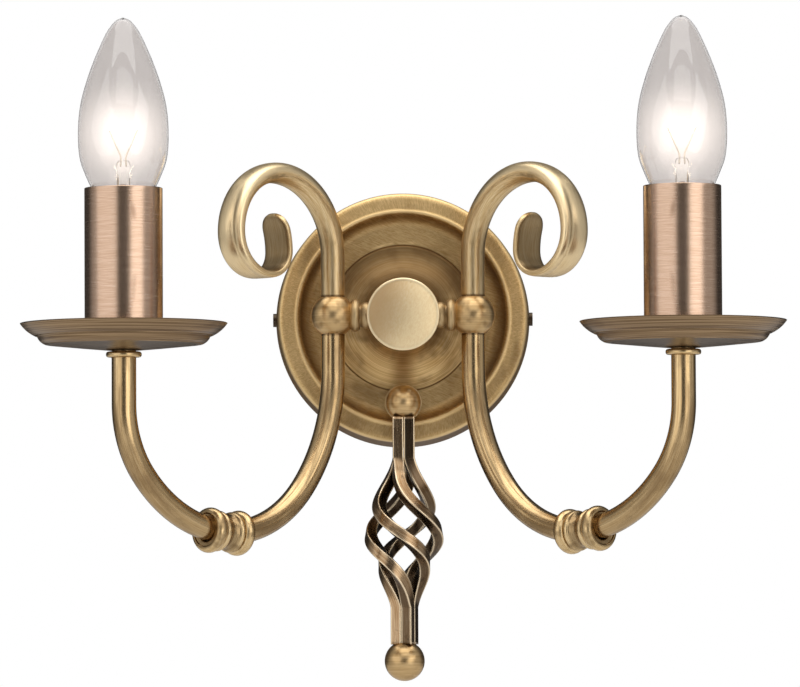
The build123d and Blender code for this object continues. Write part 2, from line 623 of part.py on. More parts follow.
scroll_path = scroll_line.wires()[0]
scroll_length = scroll_path.length
tip_round = STRIP_WIDTH / 2
body_fractions = [0, 0.02, 0.04, 0.08, 0.12, 0.18, 0.24, 0.3, 0.36, 0.42, 0.48, 0.54, 0.6, 0.66, 0.72, 0.78,
                  0.84, 0.9]
tip_distances = [tip_round, 0.65 * tip_round, 0.35 * tip_round, 0.12 * tip_round, 0]
stations = body_fractions + [1 - distance / scroll_length for distance in tip_distances]
with BuildPart() as scroll:
    for fraction in stations:
        wide = smooth((fraction - WIDEN_START) / (WIDEN_END - WIDEN_START))
        flat = smooth((fraction - THIN_START) / (THIN_END - THIN_START))
        width = 2 * TUBE_RADIUS + (STRIP_WIDTH - 2 * TUBE_RADIUS) * wide
        thickness = 2 * TUBE_RADIUS + (STRIP_THICKNESS - 2 * TUBE_RADIUS) * flat
        from_tip = (1 - fraction) * scroll_length
        if from_tip < tip_round:
            width = width * max(0.3, sqrt(1 - (1 - from_tip / tip_round) ** 2))
        corner = thickness * (0.495 - 0.2 * flat)
        with BuildSketch(Plane(origin=scroll_path @ fraction, x_dir=arm_normal,
                               z_dir=scroll_path % fraction)):
            RectangleRounded(width, thickness, corner)
    loft()
save_pair(scroll.part, "scroll")

# ---------------------------------------------------------------- candle
# The check ring caps the tube, the nipple runs from the tube through ring and pan into the
# lampholder, and the candle sleeve stands on the pan round the lampholder.
with BuildPart() as check_ring:
    with BuildSketch(candle_level(ring_bottom)):
        Circle(RING_RADIUS)
    extrude(amount=RING_THICKNESS)
    fillet(check_ring.edges(), RING_ROUND)
    with BuildSketch(candle_level(RING_TOP - RING_PILOT)):
        Circle(TUBE_RADIUS)
    extrude(amount=RING_PILOT + PAN_BOTTOM_Z - RING_TOP)
    with BuildSketch(candle_level(ring_bottom)):
        Circle(NIPPLE_RADIUS + SEAT_GAP)
    extrude(amount=2 * RING_THICKNESS, mode=Mode.SUBTRACT)
save_pair(check_ring.part, "check_ring")



def swelling(low, high):
    """Arc from a lower to a higher point of the pan's section, swelling down and outwards."""
    run = (high[0] - low[0], high[1] - low[1])
    length = sqrt(run[0] ** 2 + run[1] ** 2)
    middle = ((low[0] + high[0]) / 2 + PAN_BULGE * run[1] / length,
              (low[1] + high[1]) / 2 - PAN_BULGE * run[0] / length)
    ThreePointArc(low, middle, high)


with BuildPart() as drip_pan:
    pan_hole = NIPPLE_RADIUS + SEAT_GAP
    rim = (PAN_RADIUS, PAN_RIM_Z - PAN_SHEET / 3)
    cone_foot = (PAN_RADIUS - PAN_CONE_WIDTH, PAN_STEP_Z)
    bowl_top = (cone_foot[0] - PAN_LEDGE, PAN_STEP_Z)
    bowl_foot = (bowl_top[0] - PAN_BOWL_WIDTH, PAN_LOWER_Z)
    inner_rim = (PAN_RADIUS - PAN_SHEET, PAN_RIM_Z)
    inner_cone_foot = (cone_foot[0] - PAN_SHEET, PAN_STEP_Z + 0.7 * PAN_SHEET)
    inner_bowl_top = (bowl_top[0] - PAN_SHEET, PAN_STEP_Z + 0.3 * PAN_SHEET)
    inner_bowl_foot = (bowl_foot[0] - 0.3 * PAN_SHEET, PAN_LOWER_Z + PAN_SHEET)
    with BuildSketch(candle_section):
        with BuildLine():
            Polyline((pan_hole, PAN_BOTTOM_Z), (0.4 * PAN_SEAT_RADIUS, PAN_BOTTOM_Z),
                     (PAN_SEAT_RADIUS, seat_z), bowl_foot)
            swelling(bowl_foot, bowl_top)
            Line(bowl_top, cone_foot)
            swelling(cone_foot, rim)
            Polyline(rim, (PAN_RADIUS, PAN_RIM_Z), inner_rim)
            swelling(inner_cone_foot, inner_rim)
            Line(inner_cone_foot, inner_bowl_top)
            swelling(inner_bowl_foot, inner_bowl_top)
            Polyline(inner_bowl_foot, (PAN_SEAT_RADIUS + 0.5 * PAN_SHEET, pan_floor + 0.5 * PAN_SHEET),
                     (PAN_SEAT_RADIUS, pan_floor), (pan_hole, pan_floor), (pan_hole, PAN_BOTTOM_Z))
        make_face()
    revolve(axis=candle_axis)
save_pair(drip_pan.part, "drip_pan")

with BuildPart() as candle_nipple:
    with BuildSketch(candle_level(ring_bottom - NIPPLE_IN_TUBE)):
        Circle(NIPPLE_RADIUS)
        Circle(NIPPLE_BORE, mode=Mode.SUBTRACT)
    extrude(amount=NIPPLE_TOP - ring_bottom + NIPPLE_IN_TUBE)
save_pair(candle_nipple.part, "candle_nipple")

with BuildPart() as pan_nut:
    with BuildSketch(candle_level(pan_floor)):
        RegularPolygon(NUT_FLATS / 2, 6, major_radius=False)
        Circle(NIPPLE_RADIUS + SEAT_GAP, mode=Mode.SUBTRACT)
    extrude(amount=NUT_THICKNESS)
save_pair(pan_nut.part, "pan_nut")

shell_inner = LAMP_CAP_RADIUS + LAMP_GAP
shell_outer = shell_inner + HOLDER_SHELL_WALL
shell_top = HOLDER_TOP - 1.5
shell_bottom = shell_top - HOLDER_SHELL_LENGTH
contact_top = LAMP_BASE_Z - LAMP_GAP
well_floor = contact_top - 3.2
with BuildPart() as lampholder:
    with BuildSketch(candle_level(HOLDER_BOTTOM)):
        Circle(HOLDER_BASE_RADIUS)
    extrude(amount=HOLDER_BASE_TOP - HOLDER_BOTTOM)
    with BuildSketch(candle_level(HOLDER_BASE_TOP)):
        Circle(HOLDER_RADIUS)
    extrude(amount=HOLDER_TOP - HOLDER_BASE_TOP)
    chamfer(lampholder.edges().filter_by(GeomType.CIRCLE).group_by(Axis.Z)[-1], 0.8)
    with BuildSketch(candle_level(HOLDER_TOP)):
        Circle(shell_outer + SEAT_GAP)
    extrude(amount=shell_bottom - HOLDER_TOP, mode=Mode.SUBTRACT)
    with BuildSketch(candle_level(shell_bottom)):
        Circle(shell_inner - 0.4)
    extrude(amount=well_floor - shell_bottom, mode=Mode.SUBTRACT)
    with BuildSketch(candle_level(HOLDER_BOTTOM)):
        Circle(NIPPLE_RADIUS + SEAT_GAP)
    extrude(amount=NIPPLE_TOP - HOLDER_BOTTOM + 0.5, mode=Mode.SUBTRACT)
save_pair(lampholder.part, "lampholder")

with BuildPart() as holder_shell:
    with BuildSketch(candle_level(shell_bottom)):
        Circle(shell_outer)
        Circle(shell_inner, mode=Mode.SUBTRACT)
    extrude(amount=HOLDER_SHELL_LENGTH)
save_pair(holder_shell.part, "holder_shell")

with BuildPart() as holder_contact:
    with BuildSketch(candle_level(well_floor)):
        Circle(shell_inner - 0.9)
    extrude(amount=CONTACT_LEAF)
    with BuildSketch(candle_level(well_floor)):
        Circle(CONTACT_POST_RADIUS)
    extrude(amount=contact_top - well_floor)
    fillet(holder_contact.edges().group_by(Axis.Z)[-1], 0.6)
save_pair(holder_contact.part, "holder_contact")

with BuildPart() as candle_sleeve:
    with BuildSketch(candle_level(pan_floor)):
        Circle(SLEEVE_RADIUS)
        Circle(SLEEVE_RADIUS - SLEEVE_WALL, mode=Mode.SUBTRACT)
    extrude(amount=SLEEVE_TOP - pan_floor)
save_pair(candle_sleeve.part, "candle_sleeve")

# ---------------------------------------------------------------- candle lamp
neck_z = LAMP_CAP_TOP - 1.0


def glass_outline(inset):
    """Half section of the glass bulb, from its open neck to its tip, moved inwards by inset."""
    neck = (LAMP_NECK_RADIUS - inset, neck_z - 4)
    collar = (LAMP_NECK_RADIUS - inset, neck_z)
    lower = (0.73 * LAMP_RADIUS - inset, LAMP_WIDEST_Z - 0.29 * (LAMP_TIP_Z - neck_z) + 4)
    widest = (LAMP_RADIUS - inset, LAMP_WIDEST_Z)
    upper = (0.72 * LAMP_RADIUS - inset, LAMP_WIDEST_Z + 0.53 * (LAMP_TIP_Z - LAMP_WIDEST_Z))
    shoulder_point = (0.36 * LAMP_RADIUS - 0.8 * inset, LAMP_TIP_Z - 6.0 - 0.6 * inset)
    tip = (0, LAMP_TIP_Z - 1.5 * inset)
    Line(neck, collar)
    Spline(collar, lower, widest, upper, shoulder_point, tip, tangents=((0.2, 1), (-1, -0.1)))
    Polyline(tip, (0, neck[1]), neck)


with BuildPart() as bulb_glass:
    for inset, mode in ((0, Mode.ADD), (LAMP_GLASS, Mode.SUBTRACT)):
        with BuildSketch(candle_section):
            with BuildLine():
                glass_outline(inset)
            make_face()
        revolve(axis=candle_axis, mode=mode)
save_pair(bulb_glass.part, "bulb_glass")

with BuildPart() as bulb_cap:
    with BuildSketch(candle_level(LAMP_CAP_BOTTOM)):
        Circle(LAMP_CAP_RADIUS)
        Circle(LAMP_CAP_RADIUS - LAMP_CAP_WALL, mode=Mode.SUBTRACT)
    extrude(amount=LAMP_CAP_TOP - LAMP_CAP_BOTTOM)
save_pair(bulb_cap.part, "bulb_cap")

contact_top_z = LAMP_BASE_Z + LAMP_CONTACT_HEIGHT
cap_floor_radius = LAMP_CAP_RADIUS - LAMP_CAP_WALL - SEAT_GAP
with BuildPart() as bulb_insulator:
    with BuildSketch(candle_section):
        with BuildLine():
            Polyline(
                (0, contact_top_z),
                (LAMP_CONTACT_RADIUS + 0.6, contact_top_z),
                (LAMP_CAP_RADIUS - 0.6, LAMP_CAP_BOTTOM - 0.2),
                (LAMP_CAP_RADIUS - 0.6, LAMP_CAP_BOTTOM),
                (cap_floor_radius, LAMP_CAP_BOTTOM),
                (cap_floor_radius, LAMP_CAP_BOTTOM + 1.5),
                (0, LAMP_CAP_BOTTOM + 1.5),
                (0, contact_top_z),
            )
        make_face()
    revolve(axis=candle_axis)
save_pair(bulb_insulator.part, "bulb_insulator")

with BuildPart() as bulb_contact:
    with BuildSketch(candle_level(LAMP_BASE_Z)):
        Circle(LAMP_CONTACT_RADIUS)
    extrude(amount=LAMP_CONTACT_HEIGHT)
    fillet(bulb_contact.edges().group_by(Axis.Z)[0], 0.5)
save_pair(bulb_contact.part, "bulb_contact")

with BuildPart() as bulb_stem:
    foot = LAMP_NECK_RADIUS - LAMP_GLASS - 0.1
    foot_z = neck_z - 4
    with BuildSketch(candle_section):
        with BuildLine():
            Polyline((0, foot_z), (foot, foot_z), (foot, foot_z + 1.2), (STEM_RADIUS, foot_z + 6),
                     (STEM_RADIUS, STEM_TOP - 3), (0.6 * STEM_RADIUS, STEM_TOP), (0, STEM_TOP),
                     (0, foot_z))
        make_face()
    revolve(axis=candle_axis)
save_pair(bulb_stem.part, "bulb_stem")

# lead wires out of the stem and the filament arched between them
with BuildPart() as bulb_filament:
    for toward in (-1, 1):
        with BuildLine(candle_section) as lead_line:
            Polyline((toward * STEM_RADIUS * 0.4, STEM_TOP), (toward * STEM_RADIUS * 0.4, STEM_TOP + 2),
                     (toward * LEAD_SPREAD, LEAD_TOP))
        with BuildSketch(Plane(origin=lead_line.line @ 0, z_dir=(0, 0, 1))):
            Circle(LEAD_RADIUS)
        sweep(path=lead_line.line, transition=Transition.RIGHT)
    with BuildLine(candle_section) as filament_line:
        ThreePointArc((-LEAD_SPREAD, LEAD_TOP), (0, LEAD_TOP + 2.5), (LEAD_SPREAD, LEAD_TOP))
    with BuildSketch(Plane(origin=filament_line.line @ 0, z_dir=filament_line.line % 0)):
        Circle(FILAMENT_RADIUS)
    sweep(path=filament_line.line)
save_pair(bulb_filament.part, "bulb_filament")

# ---------------------------------------------------------------- basket drop
# A ball on its own neck out of the plate, four square bars welded together at both ends and
# swelled and twisted between them, and a finial ball.
drop_seat = Plane(origin=(0, floor_y, drop_ball_z), z_dir=(0, -1, 0))
drop_ball_face = floor_y - DROP_Y - DROP_BALL_RADIUS
washer_back = PLATE_DEPTH + BEAD_HEIGHT + LAMP_GAP + floor_y
with BuildPart() as drop_neck:
    with BuildSketch(drop_seat.offset(DROP_NECK_LIFT)):
        Circle(DROP_NECK_RADIUS)
    extrude(amount=washer_back - DROP_NECK_LIFT + DROP_WASHER_THICKNESS)
    fillet(drop_neck.edges().filter_by(GeomType.CIRCLE), 0.8)
    with BuildSketch(drop_seat.offset(washer_back)):
        Circle(DROP_WASHER_RADIUS)
    extrude(amount=DROP_WASHER_THICKNESS)
    with Locations((0, DROP_Y, drop_ball_z)):
        Sphere(DROP_BALL_RADIUS + SEAT_GAP, mode=Mode.SUBTRACT)
    with BuildSketch(drop_seat.offset(-PLATE_WALL - NUT_THICKNESS - 1)):
        Circle(NECK_THREAD_RADIUS)
    extrude(amount=PLATE_WALL + NUT_THICKNESS + 1 + drop_ball_face + NECK_IN_BALL)
save(drop_neck.part, "drop_neck")

with BuildPart() as drop_ball:
    with Locations((0, DROP_Y, drop_ball_z)):
        Sphere(DROP_BALL_RADIUS)
    with BuildSketch(drop_seat):
        Circle(NECK_THREAD_RADIUS + SEAT_GAP)
    extrude(amount=drop_ball_face + NECK_IN_BALL + SOCKET_END_GAP, mode=Mode.SUBTRACT)
    with BuildSketch(Plane(origin=(0, DROP_Y, top_stud_bottom))):
        Circle(STUD_RADIUS + SEAT_GAP)
    extrude(amount=STUD_LENGTH + STUD_END_GAP, mode=Mode.SUBTRACT)
save(drop_ball.part, "drop_ball")

bars_top = drop_ball_z - DROP_BALL_RADIUS + BALL_SEAT_DEPTH
bundle_corner = (BAR_SIDE + BAR_GAP) / sqrt(2)
bulge_height = BASKET_RADIUS - BAR_SIDE / sqrt(2) * cos(radians(BAR_ROLL)) - bundle_corner


def bar_point(start_angle, share):
    """Centre of a bar at a share of the basket's height, counted from its top."""
    turn = share - BASKET_EVENNESS * sin(2 * pi * share) / (2 * pi)
    angle = radians(start_angle + BASKET_TURN * turn)
    reach = bundle_corner + bulge_height * sin(pi * share) ** BASKET_FULLNESS
    return Vector(reach * cos(angle), DROP_Y + reach * sin(angle), basket_top_z - BASKET_LENGTH * share)


def square_section(centre, along, share):
    """Plane across a bar.  A corner of the bar points away from the basket's axis, and in the
    bulge the bar has rolled so far that one of its faces looks outwards instead."""
    outward = Vector(centre.X, centre.Y - DROP_Y, 0)
    sideways = along.cross(outward).normalized()
    corner = sideways.cross(along).normalized()
    roll = radians(BAR_ROLL) * sin(pi * share) ** 2
    return Plane(origin=centre, x_dir=corner * cos(roll) + sideways * sin(roll), z_dir=along)


BAR_STATIONS = 16
for number in range(4):
    start_angle = 45 + 90 * number
    with BuildPart() as basket_bar:
        for station in range(BAR_STATIONS + 1):
            share = station / BAR_STATIONS
            step = 0.002
            before = bar_point(start_angle, max(share - step, 0))
            after = bar_point(start_angle, min(share + step, 1))
            along = (after - before).normalized()
            if station in (0, BAR_STATIONS):
                along = Vector(0, 0, -1)
            with BuildSketch(square_section(bar_point(start_angle, share), along, share)):
                Rectangle(BAR_SIDE, BAR_SIDE, rotation=45)
        loft()
        top_centre = bar_point(start_angle, 0)
        with BuildSketch(Plane(origin=top_centre)):
            Rectangle(BAR_SIDE, BAR_SIDE)
        extrude(amount=bars_top - basket_top_z)
        end_centre = bar_point(start_angle, 1)
        with BuildSketch(Plane(origin=end_centre)):
            Rectangle(BAR_SIDE, BAR_SIDE, rotation=BASKET_TURN)
        extrude(amount=bars_end_z - basket_end_z)
        with Locations((0, DROP_Y, drop_ball_z)):
            Sphere(DROP_BALL_RADIUS + SEAT_GAP, mode=Mode.SUBTRACT)
        with Locations((0, DROP_Y, finial_z)):
            Sphere(FINIAL_RADIUS + SEAT_GAP, mode=Mode.SUBTRACT)
        for level in (top_stud_bottom, end_stud_bottom):
            with BuildSketch(Plane(origin=(0, DROP_Y, level - STUD_END_GAP))):
                Circle(STUD_RADIUS + SEAT_GAP)
            extrude(amount=STUD_LENGTH + 2 * STUD_END_GAP, mode=Mode.SUBTRACT)
    save(basket_bar.part, f"basket_bar_{number + 1}")

with BuildPart() as drop_studs:
    for level in (top_stud_bottom, end_stud_bottom):
        with BuildSketch(Plane(origin=(0, DROP_Y, level))):
            Circle(STUD_RADIUS)
        extrude(amount=STUD_LENGTH)
save(drop_studs.part, "drop_studs")

with BuildPart() as finial_ball:
    with Locations((0, DROP_Y, finial_z)):
        Sphere(FINIAL_RADIUS)
    with BuildSketch(Plane(origin=(0, DROP_Y, end_stud_bottom - STUD_END_GAP))):
        Circle(STUD_RADIUS + SEAT_GAP)
    extrude(amount=STUD_LENGTH, mode=Mode.SUBTRACT)
save(finial_ball.part, "finial_ball")

# ---------------------------------------------------------------- nuts and flex
with BuildPart() as neck_nuts:
    hub_flat = sqrt((HUB_RADIUS - PLATE_WALL) ** 2 - (NUT_FLATS / sqrt(3)) ** 2) - SEAT_GAP
    for toward in (-1, 1):
        with BuildSketch(Plane(origin=(toward * hub_flat, BALL_Y, 0), x_dir=(0, 0, 1),
                               z_dir=(-toward, 0, 0))):
            RegularPolygon(NUT_FLATS / 2, 6, major_radius=False)
            Circle(NECK_THREAD_RADIUS + SEAT_GAP, mode=Mode.SUBTRACT)
        extrude(amount=NUT_THICKNESS)
    with BuildSketch(Plane(origin=(0, floor_y + PLATE_WALL + SEAT_GAP / 2, drop_ball_z), z_dir=(0, 1, 0))):
        RegularPolygon(NUT_FLATS / 2, 6, major_radius=False)
        Circle(NECK_THREAD_RADIUS + SEAT_GAP, mode=Mode.SUBTRACT)
    extrude(amount=NUT_THICKNESS)
save(neck_nuts.part, "neck_nuts")

with BuildLine(arm_plane) as arm_line:
    draw_steps((0, BEND_START_Z), -90,
               inner_bends + outer_bends + [(NIPPLE_TOP - bend_end_z, 0)])
with BuildLine() as flex_line:
    FilletPolyline(
        (FLEX_X, FLEX_Y, BLOCK_BASE + FLEX_IN_BLOCK),
        (FLEX_X, FLEX_Y, 0),
        (FLEX_X, BALL_Y, 0),
        (BALL_X, BALL_Y, 0),
        (BALL_X, BALL_Y, BEND_START_Z),
        radius=FLEX_BEND,
    )
    add(arm_line.line)
save_pair(swept_tube(flex_line.line, FLEX_RADIUS, 0), "arm_flex")
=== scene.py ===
# %% [markdown]
# # A double arm wall sconce, dressed for its portrait
# The sconce is a spun brass wall plate with two bent tube arms.  Each arm runs through a ball,
# rises into a flattened scroll, and dips to a turned knuckle before it climbs to a drip pan, a
# candle sleeve and a candle lamp.  A basket of twisted square bars hangs below the plate.
#
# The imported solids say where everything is.  We keep them as the frame, and lay finer surfaces
# over the ones that show, because polished metal gives away every flat facet.  Each finer
# surface is worked out with numpy, in the same place and of the same size as its solid.

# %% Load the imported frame
from math import cos, pi, radians, sin, sqrt

import bpy
import numpy as np
from mathutils import Matrix, Vector


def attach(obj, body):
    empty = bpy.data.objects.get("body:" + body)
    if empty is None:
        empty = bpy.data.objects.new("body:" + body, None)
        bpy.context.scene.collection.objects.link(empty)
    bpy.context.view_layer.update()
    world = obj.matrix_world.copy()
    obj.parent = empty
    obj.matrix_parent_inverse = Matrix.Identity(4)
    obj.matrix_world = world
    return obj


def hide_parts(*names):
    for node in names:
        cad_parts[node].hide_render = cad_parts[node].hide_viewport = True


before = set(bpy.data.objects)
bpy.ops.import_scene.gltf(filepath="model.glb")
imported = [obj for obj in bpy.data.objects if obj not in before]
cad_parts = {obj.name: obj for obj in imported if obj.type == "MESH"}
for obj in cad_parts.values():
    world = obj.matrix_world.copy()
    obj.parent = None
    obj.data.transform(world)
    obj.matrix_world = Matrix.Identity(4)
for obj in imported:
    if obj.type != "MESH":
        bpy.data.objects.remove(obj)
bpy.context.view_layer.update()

# %% [markdown]
# ## The camera
# The photograph was taken with a long lens from far away, a little below the plate's middle, so
# the undersides of the pans just show.  A long lens flattens depth: the candles stand 120 mm
# nearer than the wall and still look no bigger than they are.

# %% Place the camera
MM = 0.001
camera_place = Vector((-4.9, -2400.0, -132.8)) * MM
camera_target = Vector((-1.2, 0.0, -9.1)) * MM
camera_roll = -0.005
forward = (camera_target - camera_place).normalized()
right = forward.cross(Vector((0, 0, 1))).normalized()
above = right.cross(forward)
turned_right = cos(camera_roll) * right + sin(camera_roll) * above
turned_above = -sin(camera_roll) * right + cos(camera_roll) * above
lens = bpy.data.cameras.new("portrait_lens")
lens.lens = 266.3
lens.sensor_width = 36.0
lens.clip_end = 50.0
camera = bpy.data.objects.new("portrait_camera", lens)
bpy.context.scene.collection.objects.link(camera)
camera.location = camera_place
camera.rotation_euler = Matrix((turned_right, turned_above, -forward)).transposed().to_euler()
bpy.context.scene.camera = camera
print("camera looks", [round(c, 3) for c in forward])

# %% [markdown]
# ## One way to make every surface
# Turned pieces, bent tubes and the flattened scroll look different, but they are one idea: a
# straight blank, and a line that it is carried along.  In the blank, x and y lie across the
# piece and z runs along it, in millimetres.  A turned piece keeps a straight line, a tube gets
# the arm's bend.
#
# We also keep the blank's own coordinates on the mesh, as the attribute `grain`.  A brushing
# wheel follows the piece and not the room, so the finish can later follow the bend too.

# %% Outlines: corners with small rounds
def outline(corners, step=0.6):
    """Points along straight runs between corners (r, z, round).  A round of size d leaves its
    corner by d on both sides and follows the parabola (1-t)^2 A + 2t(1-t) C + t^2 B."""
    points = np.array([corner[:2] for corner in corners], float)
    rounds = [corner[2] if len(corner) > 2 else 0 for corner in corners]
    runs = [points[:1]]
    for number in range(1, len(points)):
        start, corner = runs[-1][-1], points[number]
        size = rounds[number] if number < len(points) - 1 else 0
        back = (start - corner) / max(np.linalg.norm(start - corner), 1e-9)
        enter = corner + back * size
        count = max(int(np.ceil(np.linalg.norm(enter - start) / step)), 1)
        share = np.linspace(0, 1, count + 1)[1:, None]
        runs.append(start + (enter - start) * share)
        if size:
            ahead = points[number + 1] - corner
            leave = corner + ahead / np.linalg.norm(ahead) * size
            t = np.linspace(0, 1, 7)[1:, None]
            runs.append((1 - t) ** 2 * enter + 2 * t * (1 - t) * corner + t ** 2 * leave)
    return np.vstack(runs)


print("a rounded corner has", len(outline([(0, 0), (3, 0, 1), (3, 3)])), "points")


# %% Outlines: smooth curves
def flowing(points, count=12):
    """A curve through all the points: each stretch is the cubic whose slopes at its two ends
    are half the way between the neighbouring points."""
    points = np.array(points, float)
    padded = np.vstack([2 * points[0] - points[1], points, 2 * points[-1] - points[-2]])
    before, start, end, after = padded[:-3], padded[1:-2], padded[2:-1], padded[3:]
    t = np.linspace(0, 1, count, endpoint=False)[:, None, None]
    curve = 0.5 * (2 * start + (end - before) * t
                   + (2 * before - 5 * start + 4 * end - after) * t ** 2
                   + (3 * start - before - 3 * end + after) * t ** 3)
    return np.vstack([curve.transpose(1, 0, 2).reshape(-1, 2), points[-1:]])


def arc(centre, radius, start, end, count=16):
    """Points of a circle from one angle to another, in degrees."""
    turn = np.radians(np.linspace(start, end, count))
    return np.stack([centre[0] + radius * np.cos(turn), centre[1] + radius * np.sin(turn)], 1)


def bulged(start, end, rise, count=10):
    """Shallow arch from start to end that stands off its chord by rise, to the left of the way:
    chord point + rise * 4t(1-t) * left."""
    start, end = np.array(start, float), np.array(end, float)
    t = np.linspace(0, 1, count)[:, None]
    chord = end - start
    left = np.array([-chord[1], chord[0]]) / np.linalg.norm(chord)
    return start + chord * t + rise * 4 * t * (1 - t) * left


print("a quarter circle ends at", arc((0, 0), 1.0, 0, 90)[-1].round(3))


# %% Unit vectors, blanks, and the straight line that carries one
def unit(vectors):
    """Each row of the array, made 1 long."""
    return vectors / np.linalg.norm(vectors, axis=1)[:, None]


def turned(profile, around=96):
    """Straight blank of a turned piece: the point (r, z) goes to (r cos a, r sin a, z)."""
    profile = np.asarray(profile, float)
    angle = np.linspace(0, 2 * pi, around, endpoint=False)
    radius, height = profile[:, 0, None], profile[:, 1, None]
    return np.stack([radius * np.cos(angle), radius * np.sin(angle),
                     np.broadcast_to(height, (len(profile), around))], 2)


def along(origin, across, up, ahead):
    """Straight line: x, y and z of the blank go along three fixed directions."""
    origin, across, up, ahead = (np.array(v, float) for v in (origin, across, up, ahead))
    return lambda s: (origin + s[:, None] * ahead, np.broadcast_to(across, (len(s), 3)),
                      np.broadcast_to(up, (len(s), 3)))


def standing(x, y, z=0.0):
    """Upright line through a point: the blank stands as it was turned."""
    return along((x, y, z), (1, 0, 0), (0, 1, 0), (0, 0, 1))


def carry(blank, line):
    """Each ring of the blank is set square to the line at its own z:
    point = line(z) + x * across(z) + y * up(z).  Gives the points and the blank."""
    place, across, up = line(blank[:, 0, 2])
    points = place[:, None] + blank[..., :1] * across[:, None] + blank[..., 1:2] * up[:, None]
    return points, blank


print("a turned ring of 12 points:", turned([(1, 0)], 12).shape)


# %% Meshes: a grid of points becomes a closed surface
def surface(name, shape, body, replaces=(), mirrored=False):
    """A ring of the grid joins the next ring by quads.  Where the first and last rings shrink
    to a point they close as a fan, and otherwise the last ring joins the first."""
    points, blank = shape
    points = points * MM * ([-1.0, 1.0, 1.0] if mirrored else [1.0, 1.0, 1.0])
    rows, columns = points.shape[:2]
    index = np.arange(rows * columns).reshape(rows, columns)
    poles = [np.ptp(points[end], axis=0).max() < 1e-8 for end in (0, -1)]
    if poles[0]:
        index[0] = index[0, 0]
    if poles[1]:
        index[-1] = index[-1, 0]
    if not any(poles):
        index = np.vstack([index, index[:1]])
    near, far = index[:-1], index[1:]
    quads = np.stack([near, far, np.roll(far, -1, 1), np.roll(near, -1, 1)], 2).reshape(-1, 4)
    first_fan = quads[quads[:, 0] == quads[:, 3]][:, :3]
    last_fan = quads[quads[:, 1] == quads[:, 2]][:, [0, 1, 3]]
    quads = quads[(quads[:, 0] != quads[:, 3]) & (quads[:, 1] != quads[:, 2])]
    flat = points.reshape(-1, 3)
    used, back = np.unique(np.concatenate([f.ravel() for f in (quads, first_fan, last_fan)]),
                           return_inverse=True)
    split = np.cumsum([quads.size, first_fan.size])
    quads, first_fan, last_fan = (part.reshape(-1, width) for part, width
                                  in zip(np.split(back, split), (4, 3, 3)))
    flat = flat[used]
    # the faces point outwards when the sum of face * place is positive
    corners = flat[quads] - flat.mean(0)
    twice = np.cross(corners[:, 2] - corners[:, 0], corners[:, 3] - corners[:, 1])
    if np.einsum("ij,ij->", twice, corners.mean(1)) < 0:
        quads, first_fan, last_fan = (part[:, ::-1] for part in (quads, first_fan, last_fan))
    mesh = bpy.data.meshes.new(name)
    mesh.from_pydata(flat.tolist(), [], quads.tolist() + first_fan.tolist() + last_fan.tolist())
    grain = mesh.attributes.new("grain", "FLOAT_VECTOR", "POINT")
    grain.data.foreach_set("vector", blank.reshape(-1, 3)[used].astype(np.float32).ravel())
    mesh.shade_smooth()
    piece = bpy.data.objects.new(name, mesh)
    bpy.context.scene.collection.objects.link(piece)
    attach(piece, body)
    if replaces:
        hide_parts(*replaces)
    return piece


def pair(name, shape, replaces=(), body="sconce"):
    """The right-hand piece, and its mirror image in the plane x = 0 on the left."""
    made = []
    for side in ("right", "left"):
        own = body if body == "sconce" else f"{side}_{body}"
        made.append(surface(f"{side}_{name}", shape, own,
                            [f"{side}_{node}" for node in replaces], side == "left"))
    return made


print("surface tools ready")

# %% [markdown]
# ## The wall plate
# The plate is one spun sheet: a flared side wall, a rolled rim, a flat band that ends in a bead,
# a cove down to the recessed floor, a fine crease, and a sweep that climbs to the hub.  Its half
# section is drawn once for the front and once, a sheet's thickness back, for the hollow behind.

# %% Spin the plate
PLATE_RADIUS, PLATE_FLARE, PLATE_DEPTH, SHEET, ROLL = 50.0, 1.4, 26.0, 1.2, 2.4
BAND_END, BAND_BEAD, COVE_TOP, COVE, FLOOR_HEIGHT = 43.7, 0.62, 41.6, 5.0, 20.4
CREASE_RADIUS, CREASE_WIDTH, CREASE_STEP, SWEEP = 29.6, 0.4, 0.7, 15.6
HUB_RADIUS, HUB_HEIGHT = 13.6, 50.0


def plate_section(inset):
    """Front of the sheet as (r, height over the wall), moved back into the sheet by inset."""
    edge, front, floor = PLATE_RADIUS - inset, PLATE_DEPTH - inset, FLOOR_HEIGHT - inset
    wall = outline([(edge + PLATE_FLARE, 0), (edge, front, ROLL - 0.5 * inset),
                    (BAND_END + 0.5 * inset, front)])
    cove = arc((COVE_TOP - COVE, FLOOR_HEIGHT + COVE), COVE + inset, 0, -90, 18)
    bead = bulged(wall[-1], cove[0], 0.0 if inset else -BAND_BEAD, 9)
    step = (CREASE_RADIUS - CREASE_WIDTH, floor + CREASE_STEP)
    floor_run = outline([cove[-1], (CREASE_RADIUS, floor, 0.12), step])
    sweep = arc((step[0], step[1] + SWEEP), SWEEP + inset, 270, 180, 40)
    sweep[:, 1] = sweep[:, 1].clip(step[1])
    hub = outline([sweep[-1], (HUB_RADIUS - inset, HUB_HEIGHT)])
    return np.vstack([wall, bead[1:], cove[1:], floor_run[1:], sweep[1:], hub[1:]])


to_wall = dict(across=(1, 0, 0), up=(0, 0, 1), ahead=(0, -1, 0))
wall_line = along((0, 0, 0), **to_wall)
sheet = np.vstack([plate_section(0), plate_section(SHEET)[::-1]])
plate = surface("plate_shell", carry(turned(sheet, 224), wall_line), "sconce",
                ["backplate"])
print("plate_shell", len(plate.data.polygons), "faces")

